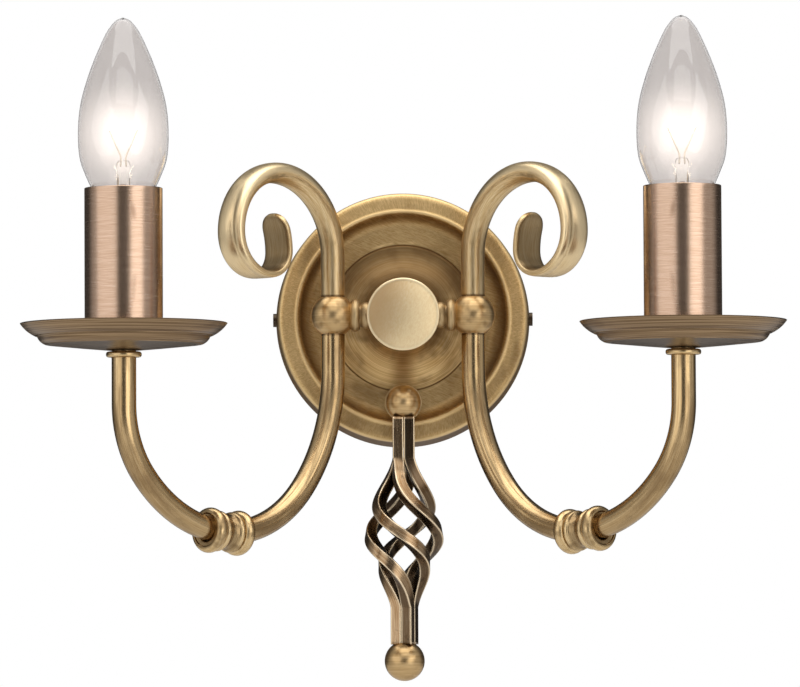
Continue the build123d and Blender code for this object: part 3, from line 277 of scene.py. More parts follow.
# %% Press the hub's cap
CAP_RADIUS, CAP_RISE, CAP_EDGE, DOME_RADIUS, DOME_END = 14.5, 3.35, 1.9, 62.0, 77.6
SPIGOT_RADIUS, SPIGOT_DEEP = 12.3, 2.0
dome = arc((0, HUB_HEIGHT + CAP_RISE - DOME_RADIUS), DOME_RADIUS, 90, DOME_END, 30)
skirt = outline([dome[-1], (CAP_RADIUS, HUB_HEIGHT + CAP_EDGE, 0.7), (CAP_RADIUS, HUB_HEIGHT, 0.3),
                 (SPIGOT_RADIUS, HUB_HEIGHT, 0.1), (SPIGOT_RADIUS, HUB_HEIGHT - SPIGOT_DEEP, 0.1),
                 (0, HUB_HEIGHT - SPIGOT_DEEP)])
cap = surface("cap_face", carry(turned(np.vstack([dome, skirt[1:]]), 160), wall_line), "sconce",
              ["hub_cap"])
print("cap_face front at", round(dome[:, 1].max(), 2), "mm from the wall")

# %% [markdown]
# ## The arms' upright plane
# Each arm lies in one upright plane that stands 45 degrees forward of the wall.  We write its
# line as runs and bends, like a pipe bender's list: go straight so far, then turn so many
# degrees at such a radius.

# %% A bender's list becomes a line
ARM_ANGLE = 45.0
BALL_PLACE = np.array([28.0, -42.0, 0.0])
out_dir = np.array([cos(radians(ARM_ANGLE)), -sin(radians(ARM_ANGLE)), 0.0])
side_dir = np.array([-sin(radians(ARM_ANGLE)), -cos(radians(ARM_ANGLE)), 0.0])
upright = np.array([0.0, 0.0, 1.0])


def bent(start, heading, steps):
    """Line in the arm's plane.  A step (0, length) is a straight run, and (R, degrees) a bend.
    On a run the point moves on by s; on a bend of radius R it is centre + R (cos, sin) of an
    angle that grows by s / R."""
    parts, place, angle, done = [], np.array(start, float), radians(heading), 0.0
    for radius, amount in steps:
        ahead = np.array([cos(angle), sin(angle)])
        if radius == 0:
            parts.append((done, done + amount, place, angle, 0.0))
            place, done = place + ahead * amount, done + amount
        else:
            turn = radians(amount)
            curve = np.sign(turn) / radius
            left = np.array([-ahead[1], ahead[0]]) / curve
            parts.append((done, done + abs(turn) * radius, place, angle, curve))
            centre, angle, done = place + left, angle + turn, done + abs(turn) * radius
            place = centre - np.array([-sin(angle), cos(angle)]) / curve

    def line(s):
        u, z, way = np.zeros_like(s), np.zeros_like(s), np.zeros_like(s)
        for number, (begin, end, origin, angle, curve) in enumerate(parts):
            low = -np.inf if number == 0 else begin - 1e-9
            here = (s >= low) if number == len(parts) - 1 else (s >= low) & (s <= end)
            gone = s[here] - begin
            now = angle + curve * gone
            if curve:
                u[here] = origin[0] + (np.sin(now) - sin(angle)) / curve
                z[here] = origin[1] - (np.cos(now) - cos(angle)) / curve
            else:
                u[here] = origin[0] + gone * cos(angle)
                z[here] = origin[1] + gone * sin(angle)
            way[here] = now
        place = BALL_PLACE + u[:, None] * out_dir + z[:, None] * upright
        inward = -np.sin(way)[:, None] * out_dir + np.cos(way)[:, None] * upright
        return place, np.broadcast_to(side_dir, place.shape), inward
    line.length = done
    return line


print("a quarter bend of radius 10 is", round(bent((0, 0), 0, [(10, 90)]).length, 2), "mm long")

BALL_RADIUS, IN_BALL = 8.8, 3.5
BEND_START, RING_TOP, RING_THICK = -22.1, -18.0, 2.2
INNER_BENDS, OUTER_BENDS = [(72.0, 40), (52.0, 54)], [(61.5, 46), (41.8, 40)]
tube_top = IN_BALL - BALL_RADIUS
first_run = tube_top - BEND_START
way_down = [(0, first_run)] + INNER_BENDS + OUTER_BENDS
arm_bends = bent((0, tube_top), -90, way_down)
candle_x, candle_y, rise_z = arm_bends(np.array([arm_bends.length]))[0][0]
arm_line = bent((0, tube_top), -90, way_down + [(0, RING_TOP - RING_THICK - rise_z)])
to_knuckle = first_run + sum(radius * radians(turn) for radius, turn in INNER_BENDS)
candle_line = standing(candle_x, candle_y)
print("candle axis at", round(candle_x, 3), round(candle_y, 3),
      "and knuckle after", round(to_knuckle, 1))

# %% [markdown]
# ## Tubes, knuckle, ball and neck
# A tube is a ring-shaped section carried along the bender's list.  The knuckle is turned from
# the bar: two round rings, a bead beside each, and a hollow waist between.  The ball joins tube
# and scroll, and a short turned neck with two beads holds it to the hub.

# %% Bend the tubes
TUBE_RADIUS, TUBE_WALL, KNUCKLE_LENGTH, SOCKET = 4.75, 0.75, 20.0, 5.0
tube_gap = KNUCKLE_LENGTH / 2 - SOCKET


def tube_section(start, end):
    """Closed ring section: the outside from end to end, and the bore on the way back."""
    bore = TUBE_RADIUS - TUBE_WALL
    outside = outline([(bore, start), (TUBE_RADIUS, start, 0.2), (TUBE_RADIUS, end, 0.2),
                       (bore, end)], 0.9)
    return np.vstack([outside, outline([(bore, end), (bore, start)], 2.0)[1:-1]])


inner_section = tube_section(0, to_knuckle - tube_gap)
outer_section = tube_section(to_knuckle + tube_gap, arm_line.length)
inner_tubes = pair("tube_inner", carry(turned(inner_section, 72), arm_line),
                   ["inner_tube"])
outer_tubes = pair("tube_outer", carry(turned(outer_section, 72), arm_line),
                   ["outer_tube"])
print("tube is", round(arm_line.length, 1), "mm long from ball to ring")

# %% Turn the knuckle
RING_RADIUS, RING_WIDTH, RING_ROUND, RING_SPAN = 8.9, 5.0, 2.3, 78
BEAD_RADIUS, BEAD_ROUND, BEAD_PLACE, BEAD_HALF = 8.0, 1.2, 1.4, 1.3
GROOVE, SHOULDER, WAIST = 7.0, (6.55, 1.1), 6.3
MOUTH_DEEP, MOUTH_INNER, MOUTH_OUTER, SLIP = 0.7, 6.3, 6.7, 0.05
half = KNUCKLE_LENGTH / 2
ring_z, groove_z = half - RING_WIDTH / 2, half - RING_WIDTH
ring_turn = np.radians(np.linspace(RING_SPAN, -RING_SPAN, 15))
ring_round = np.stack([RING_RADIUS - RING_ROUND * (1 - np.cos(ring_turn)),
                       ring_z + RING_WIDTH / 2 * np.sin(ring_turn) / sin(radians(RING_SPAN))], 1)
bead_turn = np.radians(np.linspace(60, -75, 9))
bead = np.stack([BEAD_RADIUS - BEAD_ROUND * (1 - np.cos(bead_turn)),
                 groove_z - BEAD_PLACE + BEAD_HALF * np.sin(bead_turn)], 1)
waist = flowing([bead[-1], SHOULDER, (WAIST, 0)], 4)
mouth = outline([(TUBE_RADIUS + SLIP, half - MOUTH_DEEP), (MOUTH_INNER, half - MOUTH_DEEP, 0.2),
                 (MOUTH_OUTER, half, 0.2), ring_round[0]], 0.5)
upper = np.vstack([mouth, ring_round[1:], [(GROOVE, groove_z)], bead, waist[1:]])
lower = upper[::-1][1:] * [1, -1]
bore = outline([(TUBE_RADIUS + SLIP, -half + MOUTH_DEEP), (TUBE_RADIUS + SLIP, half - MOUTH_DEEP)],
               1.5)[1:-1]
at_knuckle, _, inward = (value[0] for value in arm_line(np.array([to_knuckle])))
knuckle_line = along(at_knuckle, side_dir, inward, np.cross(inward, side_dir))
knuckles = pair("knuckle_turned", carry(turned(np.vstack([upper, lower, bore]), 112),
                                        knuckle_line), ["knuckle"])
print("knuckle rings", 2 * RING_RADIUS, "mm across")


# %% Turn the ball and the neck of each arm
def ball_section(radius, rows):
    """Half circle from the top pole to the bottom pole, with both poles exactly on the axis."""
    profile = arc((0, 0), radius, 90, -90, rows)
    profile[[0, -1], 0] = 0
    return profile


ball_line = along(BALL_PLACE, side_dir, out_dir, upright)
balls = pair("ball", carry(turned(ball_section(BALL_RADIUS, 49), 96), ball_line),
             ["arm_ball"])
NECK_SEAT, NECK_RADIUS, NECK_BEAD_RADIUS, NECK_BEAD_ROUND, NECK_BEAD_WIDTH = 12.5, 5.3, 6.6, 1.1, 3.9
STUB_RADIUS, STUB_BORE, STUB_END, STUB_TIP = 3.95, 2.75, 7.4, 23.5
small_root, large_root = NECK_RADIUS - NECK_BEAD_ROUND, NECK_BEAD_RADIUS - NECK_BEAD_ROUND
ball_side = BALL_PLACE[0] - sqrt(BALL_RADIUS ** 2 - large_root ** 2)
between = ball_side - NECK_BEAD_WIDTH
neck_profile = np.vstack([
    outline([(STUB_BORE, STUB_END), (STUB_RADIUS, STUB_END, 0.3), (STUB_RADIUS, NECK_SEAT)], 0.8),
    bulged((small_root, NECK_SEAT), (small_root, between), -NECK_BEAD_ROUND, 13),
    bulged((large_root, between), (large_root, ball_side), -NECK_BEAD_ROUND, 13),
    outline([(STUB_RADIUS, ball_side), (STUB_RADIUS, STUB_TIP), (STUB_BORE, STUB_TIP)], 0.8),
    outline([(STUB_BORE, STUB_TIP), (STUB_BORE, STUB_END)], 2.0)[1:-1]])
neck_line = along((0, BALL_PLACE[1], 0), (0, 1, 0), (0, 0, 1), (1, 0, 0))
necks = pair("neck_turned", carry(turned(neck_profile, 80), neck_line), ["neck"])
print("balls", 2 * BALL_RADIUS, "mm across")

# %% [markdown]
# ## The scroll
# The scroll starts as a round rod and is pressed flat on its way to the rounded tip.  Its
# section is a superellipse: |x/a|^n + |y/b|^n = 1 is a circle at n = 2 and nears a rectangle as
# n grows.  The half width a grows while the half thickness b shrinks, and a shallow groove runs
# down the outer face, where the press pulled the metal in.

# %% Press and curl the scroll
SCROLL_RISE, SCROLL_RADII, TIP_BEND = 23.9, (31.5, 24.1, 16.5, 9.4), (30.0, -30)
STRIP_WIDTH, STRIP_THICK, STRIP_POWER = 14.4, 2.8, 4.2
THINS, WIDENS = (0.25, 0.87), (0.10, 0.90)
DENT_STARTS, DENT_ENDS, DENT_DEEP, DENT_PLACE, DENT_WIDTH = (0.52, 0.64), (0.72, 0.82), 0.75, 2.4, 1.5
scroll_line = bent((0, BALL_RADIUS - IN_BALL), 90, [(0, SCROLL_RISE - BALL_RADIUS + IN_BALL)]
                   + [(radius, -90) for radius in SCROLL_RADII] + [TIP_BEND])


def ease(x, start, end):
    """0 before start, 1 after end, and t^2 (3 - 2t) between."""
    t = np.clip((x - start) / (end - start), 0, 1)
    return t * t * (3 - 2 * t)


def pressed_blank(length, around=96):
    """Superellipse rings that widen and thin towards the tip, and close there in a half round.
    THINS, WIDENS and the dent's places are shares of the whole length."""
    tip = STRIP_WIDTH / 2
    s = np.concatenate([np.linspace(0, length - tip, 190),
                        length - tip + tip * np.sin(np.linspace(0, pi / 2, 26)[1:])])
    flat = ease(s / length, *THINS)
    wide = TUBE_RADIUS + (STRIP_WIDTH / 2 - TUBE_RADIUS) * ease(s / length, *WIDENS)
    thick = TUBE_RADIUS + (STRIP_THICK / 2 - TUBE_RADIUS) * flat
    near_tip = np.clip((s - length + tip) / tip, 0, 1)
    wide = wide * np.sqrt(1 - near_tip ** 2)
    thick = thick * np.sqrt(1 - near_tip ** 6)
    power = (2 + (STRIP_POWER - 2) * flat)[:, None]
    angle = np.linspace(0, 2 * pi, around, endpoint=False)
    c, d = np.cos(angle), np.sin(angle)
    x = wide[:, None] * np.sign(c) * np.abs(c) ** (2 / power)
    y = thick[:, None] * np.sign(d) * np.abs(d) ** (2 / power)
    dent = ease(s / length, *DENT_STARTS) * (1 - ease(s / length, *DENT_ENDS))
    groove = DENT_DEEP * dent[:, None] * np.exp(-((x - DENT_PLACE) / DENT_WIDTH) ** 2)
    y = np.where(y > 0, y - groove, y)
    blank = np.stack([x, y, np.broadcast_to(s[:, None], x.shape)], 2)
    return np.concatenate([blank[:1] * [0, 0, 1], blank, blank[-1:] * [0, 0, 1]])


scrolls = pair("scroll_strip", carry(pressed_blank(scroll_line.length), scroll_line),
               ["scroll"])
print("scroll is", round(scroll_line.length), "mm long")

# %% [markdown]
# ## Pan, ring and sleeve
# These are turned about the candle's axis.  The pan is a shallow dish with a step below its
# rim, and its lip is thin.  A corner in these lists is (distance from the axis, height, round).

# %% Turn the drip pan
PAN_RADIUS, PAN_TOP, PAN_FOOT, PAN_BED, PAN_BORE = 40.0, -7.0, -17.5, -15.97, 4.0
CURVE_RISE = 0.5
pan_outside = [outline([(PAN_BORE, PAN_FOOT), (6.6, PAN_FOOT, 0.4), (16.5, -16.6, 1.5),
                        (30.5, -15.2)], 0.5),
               bulged((30.5, -15.2), (33.5, -12.0), -CURVE_RISE), [(34.2, -12.0)],
               bulged((34.2, -12.0), (39.9, -7.3), -CURVE_RISE, 14),
               [(PAN_RADIUS, PAN_TOP - 0.12), (PAN_RADIUS - 0.15, PAN_TOP)]]
pan_inside = [[(PAN_RADIUS - 0.8, PAN_TOP)], bulged((39.1, -7.08), (33.3, -11.37), CURVE_RISE, 14),
              [(32.6, -11.73)], bulged((32.6, -11.73), (30.2, -14.3), CURVE_RISE),
              outline([(30.2, -14.3), (16.95, -15.5, 0.3), (16.5, PAN_BED, 0.3),
                       (PAN_BORE, PAN_BED)], 0.5)]
pans = pair("pan_spun", carry(turned(np.vstack(pan_outside + pan_inside), 176), candle_line),
            ["drip_pan"])
print("pan", 2 * PAN_RADIUS, "mm across and", PAN_TOP - PAN_FOOT, "mm deep")

# %% Turn the check ring and draw the sleeve
CHECK_BORE, CHECK_RADIUS, CHECK_ROUND, CHECK_FOOT = 4.05, 6.9, 1.05, RING_TOP - RING_THICK
ring_section = outline([(CHECK_BORE, CHECK_FOOT), (CHECK_RADIUS, CHECK_FOOT, CHECK_ROUND),
                        (CHECK_RADIUS, RING_TOP, CHECK_ROUND), (4.7, RING_TOP, 0.2),
                        (4.7, PAN_FOOT), (CHECK_BORE, PAN_FOOT)], 0.4)
ring_bore = outline([(CHECK_BORE, PAN_FOOT), (CHECK_BORE, CHECK_FOOT)], 0.9)[1:-1]
rings = pair("ring_turned", carry(turned(np.vstack([ring_section, ring_bore]), 80), candle_line),
             ["check_ring"])
SLEEVE_RADIUS, SLEEVE_WALL, SLEEVE_TOP, SLEEVE_LIP = 15.1, 0.8, 45.2, 1.2
sleeve_bore = SLEEVE_RADIUS - SLEEVE_WALL
sleeve_outside = outline([(sleeve_bore, PAN_BED), (SLEEVE_RADIUS, PAN_BED),
                          (SLEEVE_RADIUS, SLEEVE_TOP, 0.35), (sleeve_bore, SLEEVE_TOP, 0.35),
                          (sleeve_bore, SLEEVE_TOP - SLEEVE_LIP)], 1.2)
sleeve_inside = outline([(sleeve_bore, SLEEVE_TOP - SLEEVE_LIP), (sleeve_bore, PAN_BED)],
                        3.0)[1:-1]
sleeves = pair("sleeve_drawn", carry(turned(np.vstack([sleeve_outside, sleeve_inside]), 128),
                                     candle_line), ["candle_sleeve"])
print("sleeve", 2 * SLEEVE_RADIUS, "mm across and", round(SLEEVE_TOP - PAN_BED, 1), "mm tall")

# %% [markdown]
# ## The candle lamp
# A candle lamp is a thin glass flame over a screw cap.  Inside stands the pressed glass foot
# with two lead wires, and the coiled filament hangs between them.  The glass has a real wall,
# because a ray of light bends at both of its faces.

# %% Blow the glass
LAMP_RADIUS, LAMP_TIP, LAMP_WIDEST, GLASS_WALL, NECK_Z, GLASS_FOOT = 17.5, 111.3, 66.5, 0.8, 31.0, 27.0
flame = flowing([(0, LAMP_TIP), (2.6, LAMP_TIP - 1.1), (4.9, LAMP_TIP - 3.6), (7.0, 104.3),
                 (10.9, 95.6), (14.3, 86.2), (16.7, 76.6), (LAMP_RADIUS, LAMP_WIDEST),
                 (16.9, 57.0), (14.7, 50.3), (11.3, 42.8), (8.3, 36.5), (6.4, NECK_Z),
                 (6.2, GLASS_FOOT)], 7)
slope = np.gradient(flame, axis=0)
normal = unit(np.stack([-slope[:, 1], slope[:, 0]], 1))
inside = flame - normal * GLASS_WALL
inside[0] = (0, LAMP_TIP - GLASS_WALL - 0.3)
inside = inside[inside[:, 0] >= 0]
glasses = pair("glass_blown", carry(turned(np.vstack([flame, inside[::-1]]), 96), candle_line),
               ["bulb_glass"], "bulb")
print("glass", 2 * LAMP_RADIUS, "mm wide,", LAMP_TIP - GLASS_FOOT, "mm tall")

# %% Roll the screw cap's thread
THREAD_RADIUS, THREAD_DEPTH, THREAD_PITCH, THREAD_BORE = 6.9, 0.75, 2.82, 6.0
THREAD_FOOT, THREAD_TOP, PLAIN_COLLAR = 15.5, 32.0, 4.5


def rolled_thread(rows=110, around=96):
    """Screw surface: r = radius - depth/2 + depth/2 cos(2 pi z / pitch - a), so the crest
    climbs one pitch in one turn.  The thread fades out at both ends."""
    z = np.linspace(THREAD_FOOT, THREAD_TOP, rows)[:, None]
    angle = np.linspace(0, 2 * pi, around, endpoint=False)[None]
    fade = (ease(z, THREAD_FOOT, THREAD_FOOT + 1.5)
            * (1 - ease(z, THREAD_TOP - PLAIN_COLLAR, THREAD_TOP - PLAIN_COLLAR + 1.5)))
    r = THREAD_RADIUS - THREAD_DEPTH / 2 * (1 - np.cos(2 * pi * z / THREAD_PITCH - angle)) * fade
    return np.stack([r * np.cos(angle), r * np.sin(angle), z + 0 * angle], 2)


cap_bore = turned([(THREAD_BORE, THREAD_TOP), (THREAD_BORE, THREAD_FOOT)], 96)
lamp_caps = pair("cap_rolled", carry(np.concatenate([rolled_thread(), cap_bore]), candle_line),
                 ["bulb_cap"], "bulb")
print("thread turns", round((THREAD_TOP - PLAIN_COLLAR - THREAD_FOOT) / THREAD_PITCH, 1))

# %% Press the glass foot
foot = flowing([(0, GLASS_FOOT), (5.2, GLASS_FOOT), (5.0, 29.0), (3.6, 34.0), (2.7, 40.0),
                (2.6, 50.0), (2.9, 53.0), (2.2, 55.6), (0, 56.0)], 8)
foot[:, 0] = foot[:, 0].clip(0)
foot[[0, -1], 0] = 0
foot_blank = turned(foot, 48)
pinch = 1 - 0.55 * ease(foot_blank[..., 2], 44.0, 53.0)
foot_blank[..., 1] *= pinch
feet = pair("foot_pressed", carry(foot_blank, candle_line), ["bulb_stem"], "bulb")
print("foot pinched to", round(2 * 2.9 * pinch.min(), 1), "mm")


# %% Draw the lead wires and wind the filament
def wire(points, thickness, around=10):
    """Round wire through points: each ring stands square to the line, with its second
    direction kept as near to +Y as it can be."""
    points = np.asarray(points, float)
    ahead = unit(np.gradient(points, axis=0))
    up = unit(np.array([0.0, 1.0, 0.0]) - ahead * ahead[:, 1:2])
    across = np.cross(up, ahead)
    run = np.concatenate([[0], np.cumsum(np.linalg.norm(np.diff(points, axis=0), axis=1))])
    blank = turned(np.stack([np.full(len(run), thickness / 2), run], 1), around)
    rings = points[:, None] + blank[..., :1] * across[:, None] + blank[..., 1:2] * up[:, None]
    ends = [points[k, None, None].repeat(around, 1) for k in (0, -1)]
    grains = [blank[k][None] * [0, 0, 1] for k in (0, -1)]
    return (np.concatenate([ends[0], rings, ends[1]]),
            np.concatenate([grains[0], blank, grains[1]]))


candle_centre = np.array([candle_x, candle_y, 0.0])
LEAD_SPREAD, LEAD_TOP, LEAD_THICK = 5.5, 68.0, 0.6
COIL_TURNS, COIL_RADIUS, COIL_ARCH, COIL_THICK = 26, 0.42, 2.5, 0.22
leads = []
for number, toward in enumerate((-1, 1)):
    lead = flowing([(toward * 1.0, 53.5), (toward * 1.1, 57.5), (toward * 3.0, 62.0),
                    (toward * LEAD_SPREAD, LEAD_TOP)], 8)
    lead = np.insert(lead, 1, 0.0, axis=1) + candle_centre
    leads += pair(f"lead_{number + 1}", wire(lead, LEAD_THICK), (), "bulb")
share = np.linspace(0, 1, 620)
winding = 2 * pi * COIL_TURNS * share
coil = np.stack([LEAD_SPREAD * (2 * share - 1), COIL_RADIUS * np.cos(winding),
                 LEAD_TOP + COIL_ARCH * (1 - (2 * share - 1) ** 2) + COIL_RADIUS * np.sin(winding)],
                1) + candle_centre
coils = pair("filament_coil", wire(coil, COIL_THICK, 6), ["bulb_filament"], "bulb")
print("filament", round(2 * LEAD_SPREAD), "mm wide in", COIL_TURNS, "turns")

# %% [markdown]
# ## The basket drop
# Four square bars are welded side by side at both ends.  When the smith twists one end and
# pushes the ends together, the bars swell into a basket.  Each bar follows a helix whose
# radius grows and shrinks as sin(pi t)^1.8 while it turns 250 degrees.  The twist also rolls
# the bar about its own line, so in the bulge a flat side looks out and not a corner.

# %% The line of one twisted bar
BAR, BAR_GAP, BASKET_TOP, BASKET_LENGTH, BASKET_RADIUS, DROP_Y = 4.4, 0.08, -56.5, 60.0, 16.0, -32.5
BARS_TOP, BARS_END, ROLL_TURN = -40.0, -131.2, radians(32.0)
BASKET_TURN, EVENNESS, FULLNESS = radians(250.0), 0.34, 1.8
bundle = (BAR + BAR_GAP) / sqrt(2)
swell = BASKET_RADIUS - BAR / sqrt(2) * cos(ROLL_TURN) - bundle


def bar_line(start_angle):
    """Centre, and the two directions across the bar, at a depth below the plate's middle."""
    def share(z):
        return np.clip((BASKET_TOP - z) / BASKET_LENGTH, 0, 1)

    def centre(z):
        t = share(z)
        turn = radians(start_angle) + BASKET_TURN * (t - EVENNESS * np.sin(2 * pi * t) / (2 * pi))
        reach = bundle + swell * np.sin(pi * t) ** FULLNESS
        return np.stack([reach * np.cos(turn), DROP_Y + reach * np.sin(turn), z], 1)

    def line(down):
        z = -down
        place = centre(z)
        ahead = unit(centre(z - 0.05) - centre(z + 0.05))
        outward = (place - [0, DROP_Y, 0]) * [1, 1, 0]
        sideways = unit(np.cross(ahead, outward))
        corner = np.cross(sideways, ahead)
        roll = (ROLL_TURN * np.sin(pi * share(z)) ** 2)[:, None]
        return (place, corner * np.cos(roll) + sideways * np.sin(roll),
                sideways * np.cos(roll) - corner * np.sin(roll))
    return line


print("bars lie", round(bundle, 2), "mm off the middle, and swell by", round(swell, 2), "mm")


# %% Twist the bars
def square_ring(side, power, around=48):
    """A square with its corners on the x and y axes: the superellipse of a high power, turned
    by 45 degrees, whose corners are small rounds."""
    angle = np.linspace(0, 2 * pi, around, endpoint=False)
    flat_x, flat_y = (side / 2 * np.sign(v) * np.abs(v) ** (2 / power)
                      for v in (np.cos(angle), np.sin(angle)))
    return (flat_x - flat_y) / sqrt(2), (flat_x + flat_y) / sqrt(2)


bar_x, bar_y = square_ring(BAR, 11.0)
depth = np.concatenate([np.linspace(-BARS_TOP, -BASKET_TOP, 12),
                        np.linspace(-BASKET_TOP, BASKET_LENGTH - BASKET_TOP, 110)[1:],
                        np.linspace(BASKET_LENGTH - BASKET_TOP, -BARS_END, 12)[1:]])
bar_blank = np.stack(np.broadcast_arrays(bar_x, bar_y, depth[:, None]), 2)
bar_blank = np.concatenate([bar_blank[:1] * [0, 0, 1], bar_blank[:1] * [0.9, 0.9, 1], bar_blank,
                            bar_blank[-1:] * [0.9, 0.9, 1], bar_blank[-1:] * [0, 0, 1]])
bars = [surface(f"bar_twisted_{number + 1}", carry(bar_blank, bar_line(45 + 90 * number)),
                "sconce", [f"basket_bar_{number + 1}"]) for number in range(4)]
print("basket", 2 * BASKET_RADIUS, "mm across over", BASKET_LENGTH, "mm")

# %% The balls above and below the basket, and the drop's collar
DROP_BALL, DROP_Z, FINIAL, FINIAL_Z = 7.0, -34.3, 8.0, -137.8
drop_ball = surface("drop_ball_turned", carry(turned(ball_section(DROP_BALL, 45), 88),
                    standing(0, DROP_Y, DROP_Z)), "sconce", ["drop_ball"])
finial = surface("finial_turned", carry(turned(ball_section(FINIAL, 49), 96),
                 standing(0, DROP_Y, FINIAL_Z)), "sconce", ["finial_ball"])
COLLAR_STUB, COLLAR_RADIUS, WASHER_RADIUS = 3.95, 5.25, 7.5
STUB_BACK, COLLAR_BACK, WASHER_BACK, WASHER_FRONT = 18.2, 21.2, 26.7, 27.8
collar = outline([(0, STUB_BACK), (COLLAR_STUB, STUB_BACK, 0.2), (COLLAR_STUB, COLLAR_BACK),
                  (COLLAR_RADIUS, COLLAR_BACK, 0.7), (COLLAR_RADIUS, WASHER_BACK),
                  (WASHER_RADIUS, WASHER_BACK, 0.35), (WASHER_RADIUS, WASHER_FRONT, 0.4),
                  (3.9, WASHER_FRONT), (0, WASHER_FRONT)], 0.5)
drop_collar = surface("drop_collar_turned", carry(turned(collar, 72),
                      along((0, 0, DROP_Z), **to_wall)), "sconce", ["drop_neck"])
print("drop ball", 2 * DROP_BALL, "mm, finial", 2 * FINIAL, "mm")

# %% [markdown]
# ## Finishes
# All the metal here is brass, and what differs is how it was rubbed.  A finish is a small
# program of nodes, so we write it as sums and products: a class holds one number that flows
# through the nodes, and each operator on it adds a Math node.

# %% Shader maths as plain expressions
def sign(operation, swapped=False):
    """The method behind one sign of arithmetic.  Swapped, the other number comes first."""
    def act(flow, other):
        return flow.math(operation, *((other, flow) if swapped else (flow, other)))
    return act


class Flow:
    """What flows out of a node.  Arithmetic on it adds Math nodes."""
    def __init__(self, nodes, socket):
        self.nodes, self.socket = nodes, socket

    def math(self, operation, *numbers):
        return self.nodes.node("ShaderNodeMath", {"operation": operation},
                               dict(enumerate(numbers)))

    __add__, __radd__ = sign("ADD"), sign("ADD", swapped=True)
    __sub__, __rsub__ = sign("SUBTRACT"), sign("SUBTRACT", swapped=True)
    __mul__, __rmul__ = sign("MULTIPLY"), sign("MULTIPLY", swapped=True)
    __truediv__, __pow__ = sign("DIVIDE"), sign("POWER")
    larger, smaller = sign("MAXIMUM"), sign("MINIMUM")

    def __neg__(self):
        return self * -1.0

    def __abs__(self):
        return self.math("ABSOLUTE", self)

    def ramp(self, low, high):
        """Eases from 0 to 1 while the number goes from low to high."""
        return self.nodes.node("ShaderNodeMapRange", {"interpolation_type": "SMOOTHSTEP"},
                               {"Value": self, "From Min": low, "From Max": high,
                                "To Min": 0.0, "To Max": 1.0})


print("flows add their own nodes")


# %% One method that adds any node
class Nodes:
    """A node tree.  Settings are set first, then the sockets get their values or links."""
    def __init__(self, tree):
        self.tree = tree

    def feed(self, socket, value):
        if isinstance(value, Flow):
            self.tree.links.new(value.socket, socket)
        elif hasattr(value, "__len__") and len(value) == 3 and socket.type == "RGBA":
            socket.default_value = (*value, 1.0)
        else:
            socket.default_value = value

    def node(self, kind, settings=None, sockets=None, out=0):
        made = self.tree.nodes.new(kind)
        for name, value in (settings or {}).items():
            if name == "stops":
                for number, (place, colour) in enumerate(value):
                    stop = (made.color_ramp.elements[number] if number < 2
                            else made.color_ramp.elements.new(place))
                    stop.position, stop.color = place, (*colour, 1.0)
            else:
                setattr(made, name, value)
        for name, value in (sockets or {}).items():
            self.feed(made.inputs[name], value)
        return Flow(self, made.outputs[out]) if made.outputs else None


class Finish(Nodes):
    """One material: a principled shader, and the nodes that steer it."""
    def __init__(self, name, **fixed):
        self.material = bpy.data.materials.new(name)
        self.material.use_nodes = True
        super().__init__(self.material.node_tree)
        self.shader = self.tree.nodes["Principled BSDF"]
        for socket, value in fixed.items():
            self.set(socket.replace("_", " "), value)

    def set(self, socket, value):
        self.feed(self.shader.inputs[socket], value)

    def blank(self):
        """The piece's own blank coordinates in millimetres, as x, y, z."""
        grain = self.node("ShaderNodeAttribute", {"attribute_name": "grain"}, out="Vector")
        return [self.node("ShaderNodeSeparateXYZ", None, {0: grain}, out=k) for k in range(3)]

    def round_blank(self):
        """The blank's x, y, z, then the distance from its axis, and cosine and sine round it."""
        x, y, z = self.blank()
        r = (x * x + y * y) ** 0.5
        return x, y, z, r, x / (r + 0.001), y / (r + 0.001)

    def place(self):
        """Object coordinates in millimetres, as x, y, z."""
        at = self.node("ShaderNodeTexCoord", out="Object")
        return [self.node("ShaderNodeSeparateXYZ", None, {0: at}, out=k) * 1000.0
                for k in range(3)]

    def noise(self, x, y, z, detail=3.0, rough=0.55, twist=0.0):
        point = self.node("ShaderNodeCombineXYZ", None, {0: x, 1: y, 2: z})
        return self.node("ShaderNodeTexNoise", None,
                         {"Vector": point, "Scale": 1.0, "Detail": detail, "Roughness": rough,
                          "Distortion": twist})

    def mix(self, share, first, second):
        return self.node("ShaderNodeMix", {"data_type": "RGBA"}, {0: share, 6: first, 7: second},
                         out=2)

    def bump(self, height, depth_mm):
        self.set("Normal", self.node("ShaderNodeBump", None,
                                     {"Height": height, "Distance": depth_mm * MM,
                                      "Strength": 1.0}))


def dress(objects, material):
    for piece in objects:
        piece.data.materials.clear()
        piece.data.materials.append(material)
    print(material.name, "on", len(objects), "pieces")


print("finish tools ready")

# %% [markdown]
# ### Antique brass
# Antique brass is bronzed dark in a bath and then rubbed back.  The rub leaves fine lines in its own
# direction, cuts through to bright metal on what stands proud, and leaves brown in the quiet places.
# So each finish mixes three tones: bright, warm and brown, by the lines, by slow clouds, and by where
# the piece stands proud.  Some pieces also get painted highlights and painted shade in these tones.

# %% Mix the brass
BRIGHT, WARM, BROWN = (0.87, 0.67, 0.385), (0.57, 0.38, 0.17), (0.14, 0.080, 0.035)


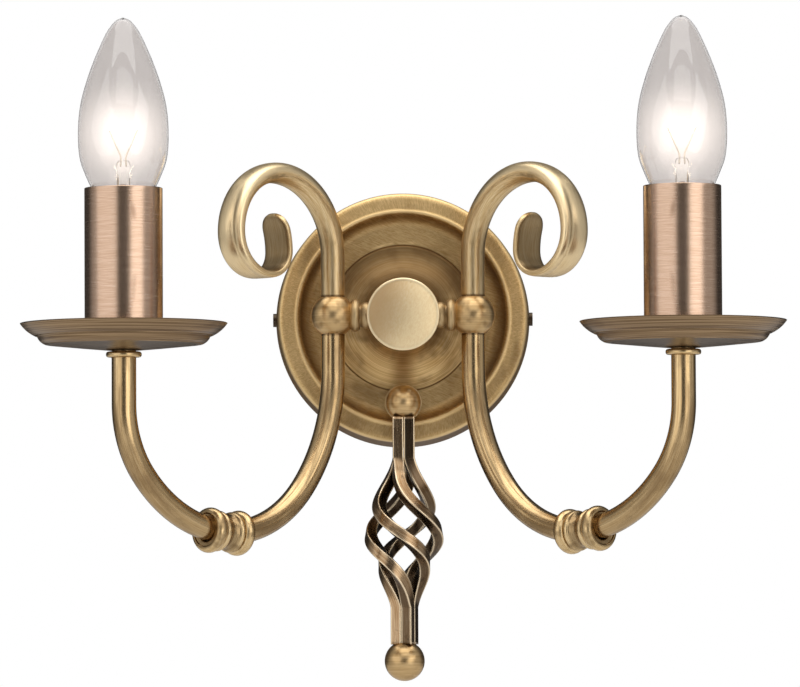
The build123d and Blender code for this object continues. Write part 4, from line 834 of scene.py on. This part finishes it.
def brushed(metal, lines, clouds, proud=None, rough=0.30, depth=0.016,
            tones=(BRIGHT, WARM, BROWN), clean=0.5, shade=None, rub=0.8):
    """Brass with fine lines (a noise that is long one way), slow clouds, bright where the piece stands
    proud or where a highlight is painted, and brown where shade is painted or patina stayed.  The
    larger clean is, the fewer clouds."""
    bright, warm, brown = tones
    worn = clouds.ramp(0.62 - 0.25 * clean, 0.30)
    tone = metal.mix(lines.ramp(0.30, 0.72) * rub, warm, bright)
    tone = metal.mix(worn * 0.6, tone, brown)
    if shade is not None:
        tone = metal.mix(shade, tone, brown)
    if proud is not None:
        tone = metal.mix(proud * 0.8, tone, bright)
    metal.set("Base Color", tone)
    metal.set("Metallic", 1.0)
    metal.set("Roughness", rough + 0.16 * (lines - 0.5) + 0.14 * worn)
    metal.bump(lines, depth)
    return metal.material


print("tones:", BRIGHT, WARM, BROWN)

# %% Tubes: rubbed lengthwise, with painted shade on the outer, lower side of the bends and where they meet the ball
TUBE_TONES = ((0.86, 0.645, 0.36), (0.50, 0.325, 0.145), (0.16, 0.092, 0.040))
tube = Finish("brass_tube")
x, y, z = tube.blank()
tube_lines = tube.noise(x * 5.5, y * 5.5, z * 0.05, 2.0)
tube_clouds = tube.noise(x * 0.16, y * 0.16, z * 0.045, 3.0)
# painted shade: dark where the tube meets the ball, and on the outer, lower side of the bends
ball_joint_shade = 1.0 - z.ramp(2.3, 3.3)
outer_bend_shade = (-y).ramp(-1.5, 4.0) * z.ramp(20.0, 60.0) * (1.0 - z.ramp(165.0, 190.0))
dress(inner_tubes + outer_tubes,
      brushed(tube, tube_lines, tube_clouds, rough=0.20, depth=0.008, clean=0.15,
              tones=TUBE_TONES, shade=ball_joint_shade * 0.8 + outer_bend_shade * 0.34))

# %% Scroll: rubbed by hand, lengthwise and a little across
STRIP_TONES = ((1.0, 0.80, 0.49), (0.64, 0.44, 0.20), BROWN)
strip = Finish("brass_strip")
x, y, z = strip.blank()
strip_lines = strip.noise(x * 3.2, y * 3.2, z * 0.11, 3.0, 0.6, 0.3)
strip_clouds = strip.noise(x * 0.14, y * 0.2, z * 0.06, 4.0)
# painted highlight: the outer face of the curl is made brighter
outer_face_highlight = y.ramp(-1.5, 1.0) * z.ramp(28.0, 52.0) * (1.0 - z.ramp(112.0, 126.0))
# painted shade: the inner face of the curl near the tip, and where the scroll meets the ball, is
# darker
inner_curl_shade = (-y).ramp(0.4, 1.2) * z.ramp(110.0, 126.0)
# the rise is darker towards the ball
rise_darkening = 1.0 - z.ramp(18.0, 60.0)
ball_joint_shade = 1.0 - z.ramp(2.3, 3.3)
dress(scrolls, brushed(strip, strip_lines, strip_clouds, outer_face_highlight, rough=0.36, depth=0.02,
                       tones=STRIP_TONES, clean=0.75,
                       shade=inner_curl_shade * 0.62 + ball_joint_shade * 0.6 + rise_darkening * 0.34))

# %% Plate: a radial rim, a streaked floor and a circular sweep
PLATE_TONES = ((0.86, 0.63, 0.32), (0.57, 0.365, 0.145), (0.14, 0.076, 0.030))
spun = Finish("brass_plate")
x, y, z, r, cos_a, sin_a = spun.round_blank()
radial = spun.noise(cos_a * 190.0 + r * 0.9, sin_a * 190.0, r * 0.30, 3.0, 0.65, 1.0)
circular = spun.noise(r * 2.6, z * 2.6, cos_a * 1.1 + sin_a * 2.3, 3.0)
streaks = spun.noise(x * 0.8 + y * 2.0, x * 0.20 - y * 0.08, z * 0.2, 4.0, 0.7, 1.4)
clouds = spun.noise(cos_a * 1.4, sin_a * 1.4, r * 0.09, 3.0)
on_rim, on_sweep = r.ramp(43.2, 44.2), 1.0 - r.ramp(29.0, 30.4)
floor_lines = streaks * (1.0 - on_sweep) + circular * on_sweep
lines = (radial * on_rim + floor_lines * (1.0 - on_rim)) * 1.5 - 0.25

# what stands proud: the bead and the plate's edge, rubbed bright; and painted highlights: glints along
# the crease
crest = r.ramp(42.0, 42.7) * (1.0 - r.ramp(43.0, 43.8))
bead_edge = crest + r.ramp(48.8, 49.6) * z.ramp(20.0, 25.0)
glint = r.ramp(29.8, 30.1) * (1.0 - r.ramp(30.6, 31.1)) * clouds.ramp(0.46, 0.60)

# painted shade on the crease, the side wall, the cove's sides and the lower rim, and on the sweep
# above the hub, which is painted lighter below it; the recessed floor is darker overall
crease = r.ramp(28.9, 29.3) * (1.0 - r.ramp(29.5, 29.9))
side_wall = r.ramp(49.9, 50.1) * (1.0 - z.ramp(22.5, 24.5))
cove = r.ramp(36.0, 39.0) * (1.0 - r.ramp(41.0, 41.7)) * abs(x).ramp(10.0, 34.0)
recess = 1.0 - r.ramp(40.5, 42.2)
above_hub, below_hub = y.ramp(2.0, 18.0), (-y).ramp(2.0, 18.0)
low_rim_shade = on_rim * (-y).ramp(18.0, 44.0)
sweep_painted_shading = on_sweep * (0.16 + above_hub * 0.36 - below_hub * 0.44)
floor_tone_and_shade = recess * 0.28 + cove * 0.34 + low_rim_shade * 0.32 + sweep_painted_shading
shade = (crease * 0.75 + side_wall * 0.7 + floor_tone_and_shade).smaller(0.95)
dress([plate], brushed(spun, lines, clouds, bead_edge + glint * 0.9, rough=0.46, depth=0.016,
                       tones=PLATE_TONES, clean=0.35, shade=shade))

# %% Cap: pale and satin, with a brighter lip
CAP_TONES = ((1.0, 0.84, 0.55), (0.90, 0.69, 0.39), (0.42, 0.26, 0.12))
face = Finish("brass_cap")
x, y, z, r, cos_a, sin_a = face.round_blank()
cap_lines = face.noise(x * 1.6 - y * 0.5, x * 0.22 + y * 0.7, z * 0.2, 4.0, 0.65, 0.6)
cap_clouds = face.noise(x * 0.11 + 3.7, y * 0.11, z * 0.1, 2.0)
left_shade = (-x + y * 0.35).ramp(-6.0, 12.0)
dress([cap], brushed(face, cap_lines, cap_clouds, r.ramp(13.2, 14.0), rough=0.46, depth=0.008,
                     tones=CAP_TONES, clean=1.2, shade=left_shade * 0.72 + 0.06))

# %% [markdown]
# ### Pieces rubbed on the lathe
# Pans, knuckles, rings, necks and balls spin while they are rubbed, so their fine lines run
# round the axis.  The noise is fine along r and z and slow round the turn.

# %% Rub on the lathe
# painted shade: the pan gets a darker copy of the brass, as it is seen from below
PAN_SHADED_TONES = ((0.45, 0.31, 0.175), (0.165, 0.103, 0.055), (0.075, 0.043, 0.022))
# painted shade: the necks and the drop's collar get a darker copy of the brass, between ball and plate
NECK_SHADED_TONES = ((0.62, 0.46, 0.26), (0.42, 0.29, 0.14), (0.12, 0.07, 0.032))


def lathe_finish(name, across, clouds_scale, rough, clean, depth=0.004,
                 tones=(BRIGHT, WARM, BROWN), rub=0.8, shaded=None):
    """Lines run round the axis.  shaded(r, z) says where brown goes: painted shade, or patina in
    hollows.
    """
    metal = Finish(name)
    x, y, z, r, cos_a, sin_a = metal.round_blank()
    fine = metal.noise(r * across, z * across, cos_a * 0.7 + sin_a * 0.5, 3.0)
    slow = metal.noise(x * clouds_scale, y * clouds_scale, z * clouds_scale, 3.0)
    return brushed(metal, fine, slow, rough=rough, depth=depth, tones=tones, clean=clean,
                   rub=rub, shade=shaded(r, z) if shaded else None)


def pan_lip_and_bottom_shade(r, z):
    """Darker at the very lip, and painted shade on the flat bottom underneath."""
    return r.ramp(39.0, 39.4) * z.ramp(-7.6, -7.2) * 0.8 + (1.0 - r.ramp(28.0, 31.0)) * 0.50


def knuckle_brown(r, z):
    """The hollows between the knuckle's rings, at any height."""
    return (1.0 - r.ramp(6.7, 8.1)) * 0.62


dress(pans, lathe_finish("brass_pan", 1.7, 0.09, 0.30, 1.1, tones=PAN_SHADED_TONES, shaded=pan_lip_and_bottom_shade))
dress(balls + [drop_ball, finial],
      lathe_finish("brass_ball", 1.5, 0.10, 0.31, 0.60, 0.001, tones=TUBE_TONES, rub=0.35))
dress(necks + [drop_collar], lathe_finish("brass_neck", 3.0, 0.16, 0.42, 0.5, tones=NECK_SHADED_TONES))
dress(knuckles, lathe_finish("brass_knuckle", 3.0, 0.16, 0.27, 0.40, shaded=knuckle_brown))
dress(rings, lathe_finish("brass_ring", 4.0, 0.16, 0.24, 0.45))

# %% [markdown]
# ### Bronze sleeve
# The sleeves are a rosier bronze, brushed round the tube in very fine lines, so that light
# stays in sharp upright bands but is smeared up and down.

# %% Brush the sleeve
SLEEVE_TONES = ((0.70, 0.51, 0.385), (0.51, 0.335, 0.225), (0.24, 0.13, 0.075))
drawn = Finish("bronze_sleeve")
x, y, z = drawn.blank()
fine = drawn.noise(z * 6.5, x * 0.12, y * 0.12, 3.0, 0.6)
slow = drawn.noise(x * 0.07, y * 0.07, z * 0.03, 2.0)
dress(sleeves, brushed(drawn, fine, slow, z.ramp(44.6, 45.1), rough=0.24, depth=0.005,
                       tones=SLEEVE_TONES, clean=0.9))

# %% [markdown]
# ### Dark bars
# The basket kept most of its bronzing, and the corners of the bars were rubbed bright.  The faces that
# don't look outwards get painted shade, so the outer faces stay brighter.  In the blank a corner is
# where |x| or |y| is greatest, and the face between +x and -y is the one that the twist turns
# outwards.  Its distance is (x - y) / sqrt(2).

# %% Rub the corners of the bars
BAR_TONES = ((1.0, 0.82, 0.57), (0.30, 0.175, 0.080), (0.026, 0.016, 0.010))
dark = Finish("dark_bars")
x, y, z = dark.blank()
corner = abs(x).larger(abs(y)).ramp(2.5, 2.95)
lines = dark.noise(x * 4.0, y * 4.0, z * 0.12, 3.0)
clouds = dark.noise(x * 0.2, y * 0.2, z * 0.17, 4.0)
outer_face = ((x - y) * 0.7071).ramp(1.2, 2.1)
next_face = ((x + y) * 0.7071).ramp(1.2, 2.1)
# painted shade on the faces that don't look outwards
inner_face_shade = (1.0 - outer_face) * (1.0 - next_face * 0.20)
dress(bars, brushed(dark, lines, clouds, corner * 0.95, rough=0.24, depth=0.02,
                    tones=BAR_TONES, clean=0.75, rub=0.30, shade=inner_face_shade * 0.88))

# %% [markdown]
# ### Glass and filament
# The lamp's glass is slightly smoky, so that it stands out from a white ground.  The filament
# is lit: its glow whitens the glass around it, which we paint as a faint light on the glass
# that falls off with distance from the filament.

# %% Light the lamp
glass = Finish("lamp_glass", Transmission_Weight=1.0, IOR=1.45, Roughness=0.0,
               Base_Color=(0.752, 0.722, 0.706), Emission_Strength=0.24)
x, y, z = glass.blank()
wide, tall = x * 0.085, (z - 66.0) * 0.080
from_glow = (wide * wide + tall * tall) ** 0.5
halo = (1.0 - from_glow.ramp(0.0, 2.0)) ** 1.3
glass.set("Emission Color", glass.mix(halo, (0.0, 0.0, 0.0), (1.0, 0.90, 0.82)))
dress(glasses, glass.material)

# painted light: the glass foot glows brighter towards the filament
clear = Finish("clear_foot", Transmission_Weight=1.0, IOR=1.5, Roughness=0.05,
               Base_Color=(0.97, 0.96, 0.94), Emission_Strength=0.10)
x, y, z = clear.blank()
clear.set("Emission Color", clear.mix(z.ramp(30.0, 56.0), (0.1, 0.09, 0.07), (1.0, 0.95, 0.86)))
dress(feet, clear.material)

glow = Finish("glowing_wire", Base_Color=(0.3, 0.28, 0.25), Roughness=0.4,
              Emission_Strength=14.0)
x, y, z = glow.blank()
glow.set("Emission Color", glow.mix(glow.noise(x, y, z * 0.4), (1.0, 0.80, 0.52),
                                    (1.0, 0.88, 0.66)))
dress(coils, glow.material)

lead_wire = Finish("lead_wire", Metallic=1.0)
x, y, z = lead_wire.blank()
speck = lead_wire.noise(x * 2.0, y * 2.0, z * 1.5)
lead_wire.set("Base Color", lead_wire.mix(speck, (0.55, 0.47, 0.36), (0.95, 0.88, 0.72)))
lead_wire.set("Roughness", 0.2 + 0.2 * speck)
dress(leads, lead_wire.material)

# %% [markdown]
# ### Small parts that keep their solids
# Screws, nuts, the bracket and the lampholder hardly show.  Their solids are good enough, so
# they only get a finish: two near tones in fine specks.

# %% Finish the small parts
def plain_finish(name, light, deep, rough, metallic, scale=0.6, depth=0.01):
    """Two near tones in fine specks, for small fittings and the parts behind the plate."""
    small = Finish(name, Metallic=metallic)
    x, y, z = small.place()
    speck = small.noise(x * scale, y * scale, z * scale, 5.0)
    small.set("Base Color", small.mix(speck.ramp(0.3, 0.7), deep, light))
    small.set("Roughness", rough + 0.2 * (speck - 0.5))
    small.bump(speck, depth)
    return small.material


CONTACTS = ("holder_shell", "holder_contact", "bulb_contact", "earth_screw", "terminal_screws",
            "candle_nipple", "pan_nut", "neck_nuts", "drop_studs")
SMALL_PARTS = {  # light tone, deep tone, roughness, metallic, and how the nodes' names end
    "zinc_strap": ((0.62, 0.63, 0.62), (0.46, 0.48, 0.49), 0.38, 1.0, ("wall_bracket",)),
    "screw_dark": ((0.10, 0.075, 0.05), (0.05, 0.035, 0.025), 0.4, 1.0, ("side_screws",)),
    "white_block": ((0.82, 0.81, 0.77), (0.75, 0.74, 0.70), 0.45, 0.0, ("terminal_block",)),
    "holder_plastic": ((0.80, 0.78, 0.72), (0.72, 0.70, 0.64), 0.4, 0.0, ("lampholder",)),
    "contact_brass": ((0.78, 0.62, 0.34), (0.62, 0.46, 0.22), 0.25, 1.0, CONTACTS),
    "lamp_cap_brass": ((0.80, 0.68, 0.42), (0.64, 0.50, 0.26), 0.25, 1.0, ("bulb_cap",)),
    "black_glass": ((0.03, 0.03, 0.035), (0.015, 0.015, 0.02), 0.1, 0.0, ("bulb_insulator",)),
    "flex_sheath": ((0.72, 0.66, 0.52), (0.64, 0.58, 0.45), 0.5, 0.0, ("arm_flex",)),
}
plain = {}
for finish_name, (light, deep, rough, metallic, endings) in SMALL_PARTS.items():
    fitted = [node for name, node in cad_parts.items() if name.endswith(endings)]
    plain[finish_name] = plain_finish(finish_name, light, deep, rough, metallic)
    dress(fitted, plain[finish_name])
dress(lamp_caps, plain["lamp_cap_brass"])

# %% [markdown]
# ## Studio
# Two tall soft lamps stand left and right of the camera and draw the upright bands on the
# tubes.  A third hangs in front, above the camera, and lights the plate's brushed band.  A
# fourth hangs overhead and lights the arches of the scrolls.  The space between the tall lamps,
# where the camera stands, stays dark and gives each tube its dark middle line.

# %% Hang the lamps
def soft_lamp(name, place, wide, tall, radiance):
    """An area lamp of an even radiance, aimed at the sconce: its power is
    radiance * pi * area."""
    data = bpy.data.lights.new(name, "AREA")
    data.shape, data.size, data.size_y = "RECTANGLE", wide, tall
    data.energy = radiance * pi * wide * tall
    lamp = bpy.data.objects.new(name, data)
    bpy.context.scene.collection.objects.link(lamp)
    lamp.location = place
    lamp.rotation_euler = (LAMP_AIM - Vector(place)).to_track_quat("-Z", "Z").to_euler()
    print(name, round(data.energy, 2), "W")


LAMP_AIM = Vector((0, -0.08, 0))
soft_lamp("right_box", (1.12, -1.32, 0.25), 0.90, 1.9, 1.42)
soft_lamp("left_box", (-1.35, -1.20, 0.25), 1.50, 1.9, 0.80)
soft_lamp("front_box", (0.1, -1.6, 1.1), 1.5, 0.7, 1.0)
soft_lamp("top_box", (0.0, -0.25, 1.6), 2.4, 2.0, 1.8)

# %% [markdown]
# ## World and floor
# Polished metal shows the room, so the room's light is a ramp: nearly dark where the camera
# stands, pale to the sides, and dark again behind the wall.  To the camera, and through glass,
# the ground is plain white.

# %% Light the world
# each level is (place from the camera's side, 0, to the wall's side, 1; brightness)
LEVELS = [(0.0, 0.07), (0.018, 0.08), (0.042, 0.46), (0.30, 0.44), (0.50, 0.52), (0.62, 0.34),
          (0.74, 0.05), (1.0, 0.05)]
world = bpy.data.worlds.new("studio")
world.use_nodes = True
bpy.context.scene.world = world
world.node_tree.nodes.clear()
room = Nodes(world.node_tree)
direction = room.node("ShaderNodeTexCoord", out="Generated")
facing = room.node("ShaderNodeSeparateXYZ", None, {0: direction}, out="Y")
level = room.node("ShaderNodeValToRGB",
                  {"stops": [(place, (grey, grey, grey * 1.01)) for place, grey in LEVELS]},
                  {"Fac": facing.math("MULTIPLY_ADD", facing, 0.5, 0.5)})
by_camera = room.node("ShaderNodeLightPath", out="Is Camera Ray")
through_glass = room.node("ShaderNodeLightPath", out="Is Transmission Ray")
grey_room = room.node("ShaderNodeBackground", None, {"Color": level})
white_room = room.node("ShaderNodeBackground", None, {"Color": (1, 1, 1), "Strength": 1.0})
both = room.node("ShaderNodeMixShader", None,
                 {0: by_camera.larger(through_glass), 1: grey_room, 2: white_room})
room.node("ShaderNodeOutputWorld", None, {"Surface": both})
bpy.context.scene.view_settings.view_transform = "Standard"
print("world ramp:", len(LEVELS), "levels")

# %% Lay the floor
FLOOR_Z, FLOOR_HALF, FLOOR_FRONT, FLOOR_BACK = -0.45, 1.5, -1.8, 1.2
floor_mesh = bpy.data.meshes.new("studio_floor")
floor_mesh.from_pydata([(-FLOOR_HALF, FLOOR_FRONT, FLOOR_Z), (FLOOR_HALF, FLOOR_FRONT, FLOOR_Z),
                        (FLOOR_HALF, FLOOR_BACK, FLOOR_Z), (-FLOOR_HALF, FLOOR_BACK, FLOOR_Z)],
                       [], [(0, 1, 2, 3)])
studio_floor = bpy.data.objects.new("studio_floor", floor_mesh)
bpy.context.scene.collection.objects.link(studio_floor)
pale = Finish("pale_floor", Roughness=0.8)
x, y, z = pale.place()
pale.set("Base Color", pale.mix(pale.noise(x * 0.02, y * 0.02, 0.0), (0.80, 0.80, 0.80),
                                (0.84, 0.84, 0.84)))
dress([studio_floor], pale.material)
print("floor", -FLOOR_Z, "m below the plate's middle")
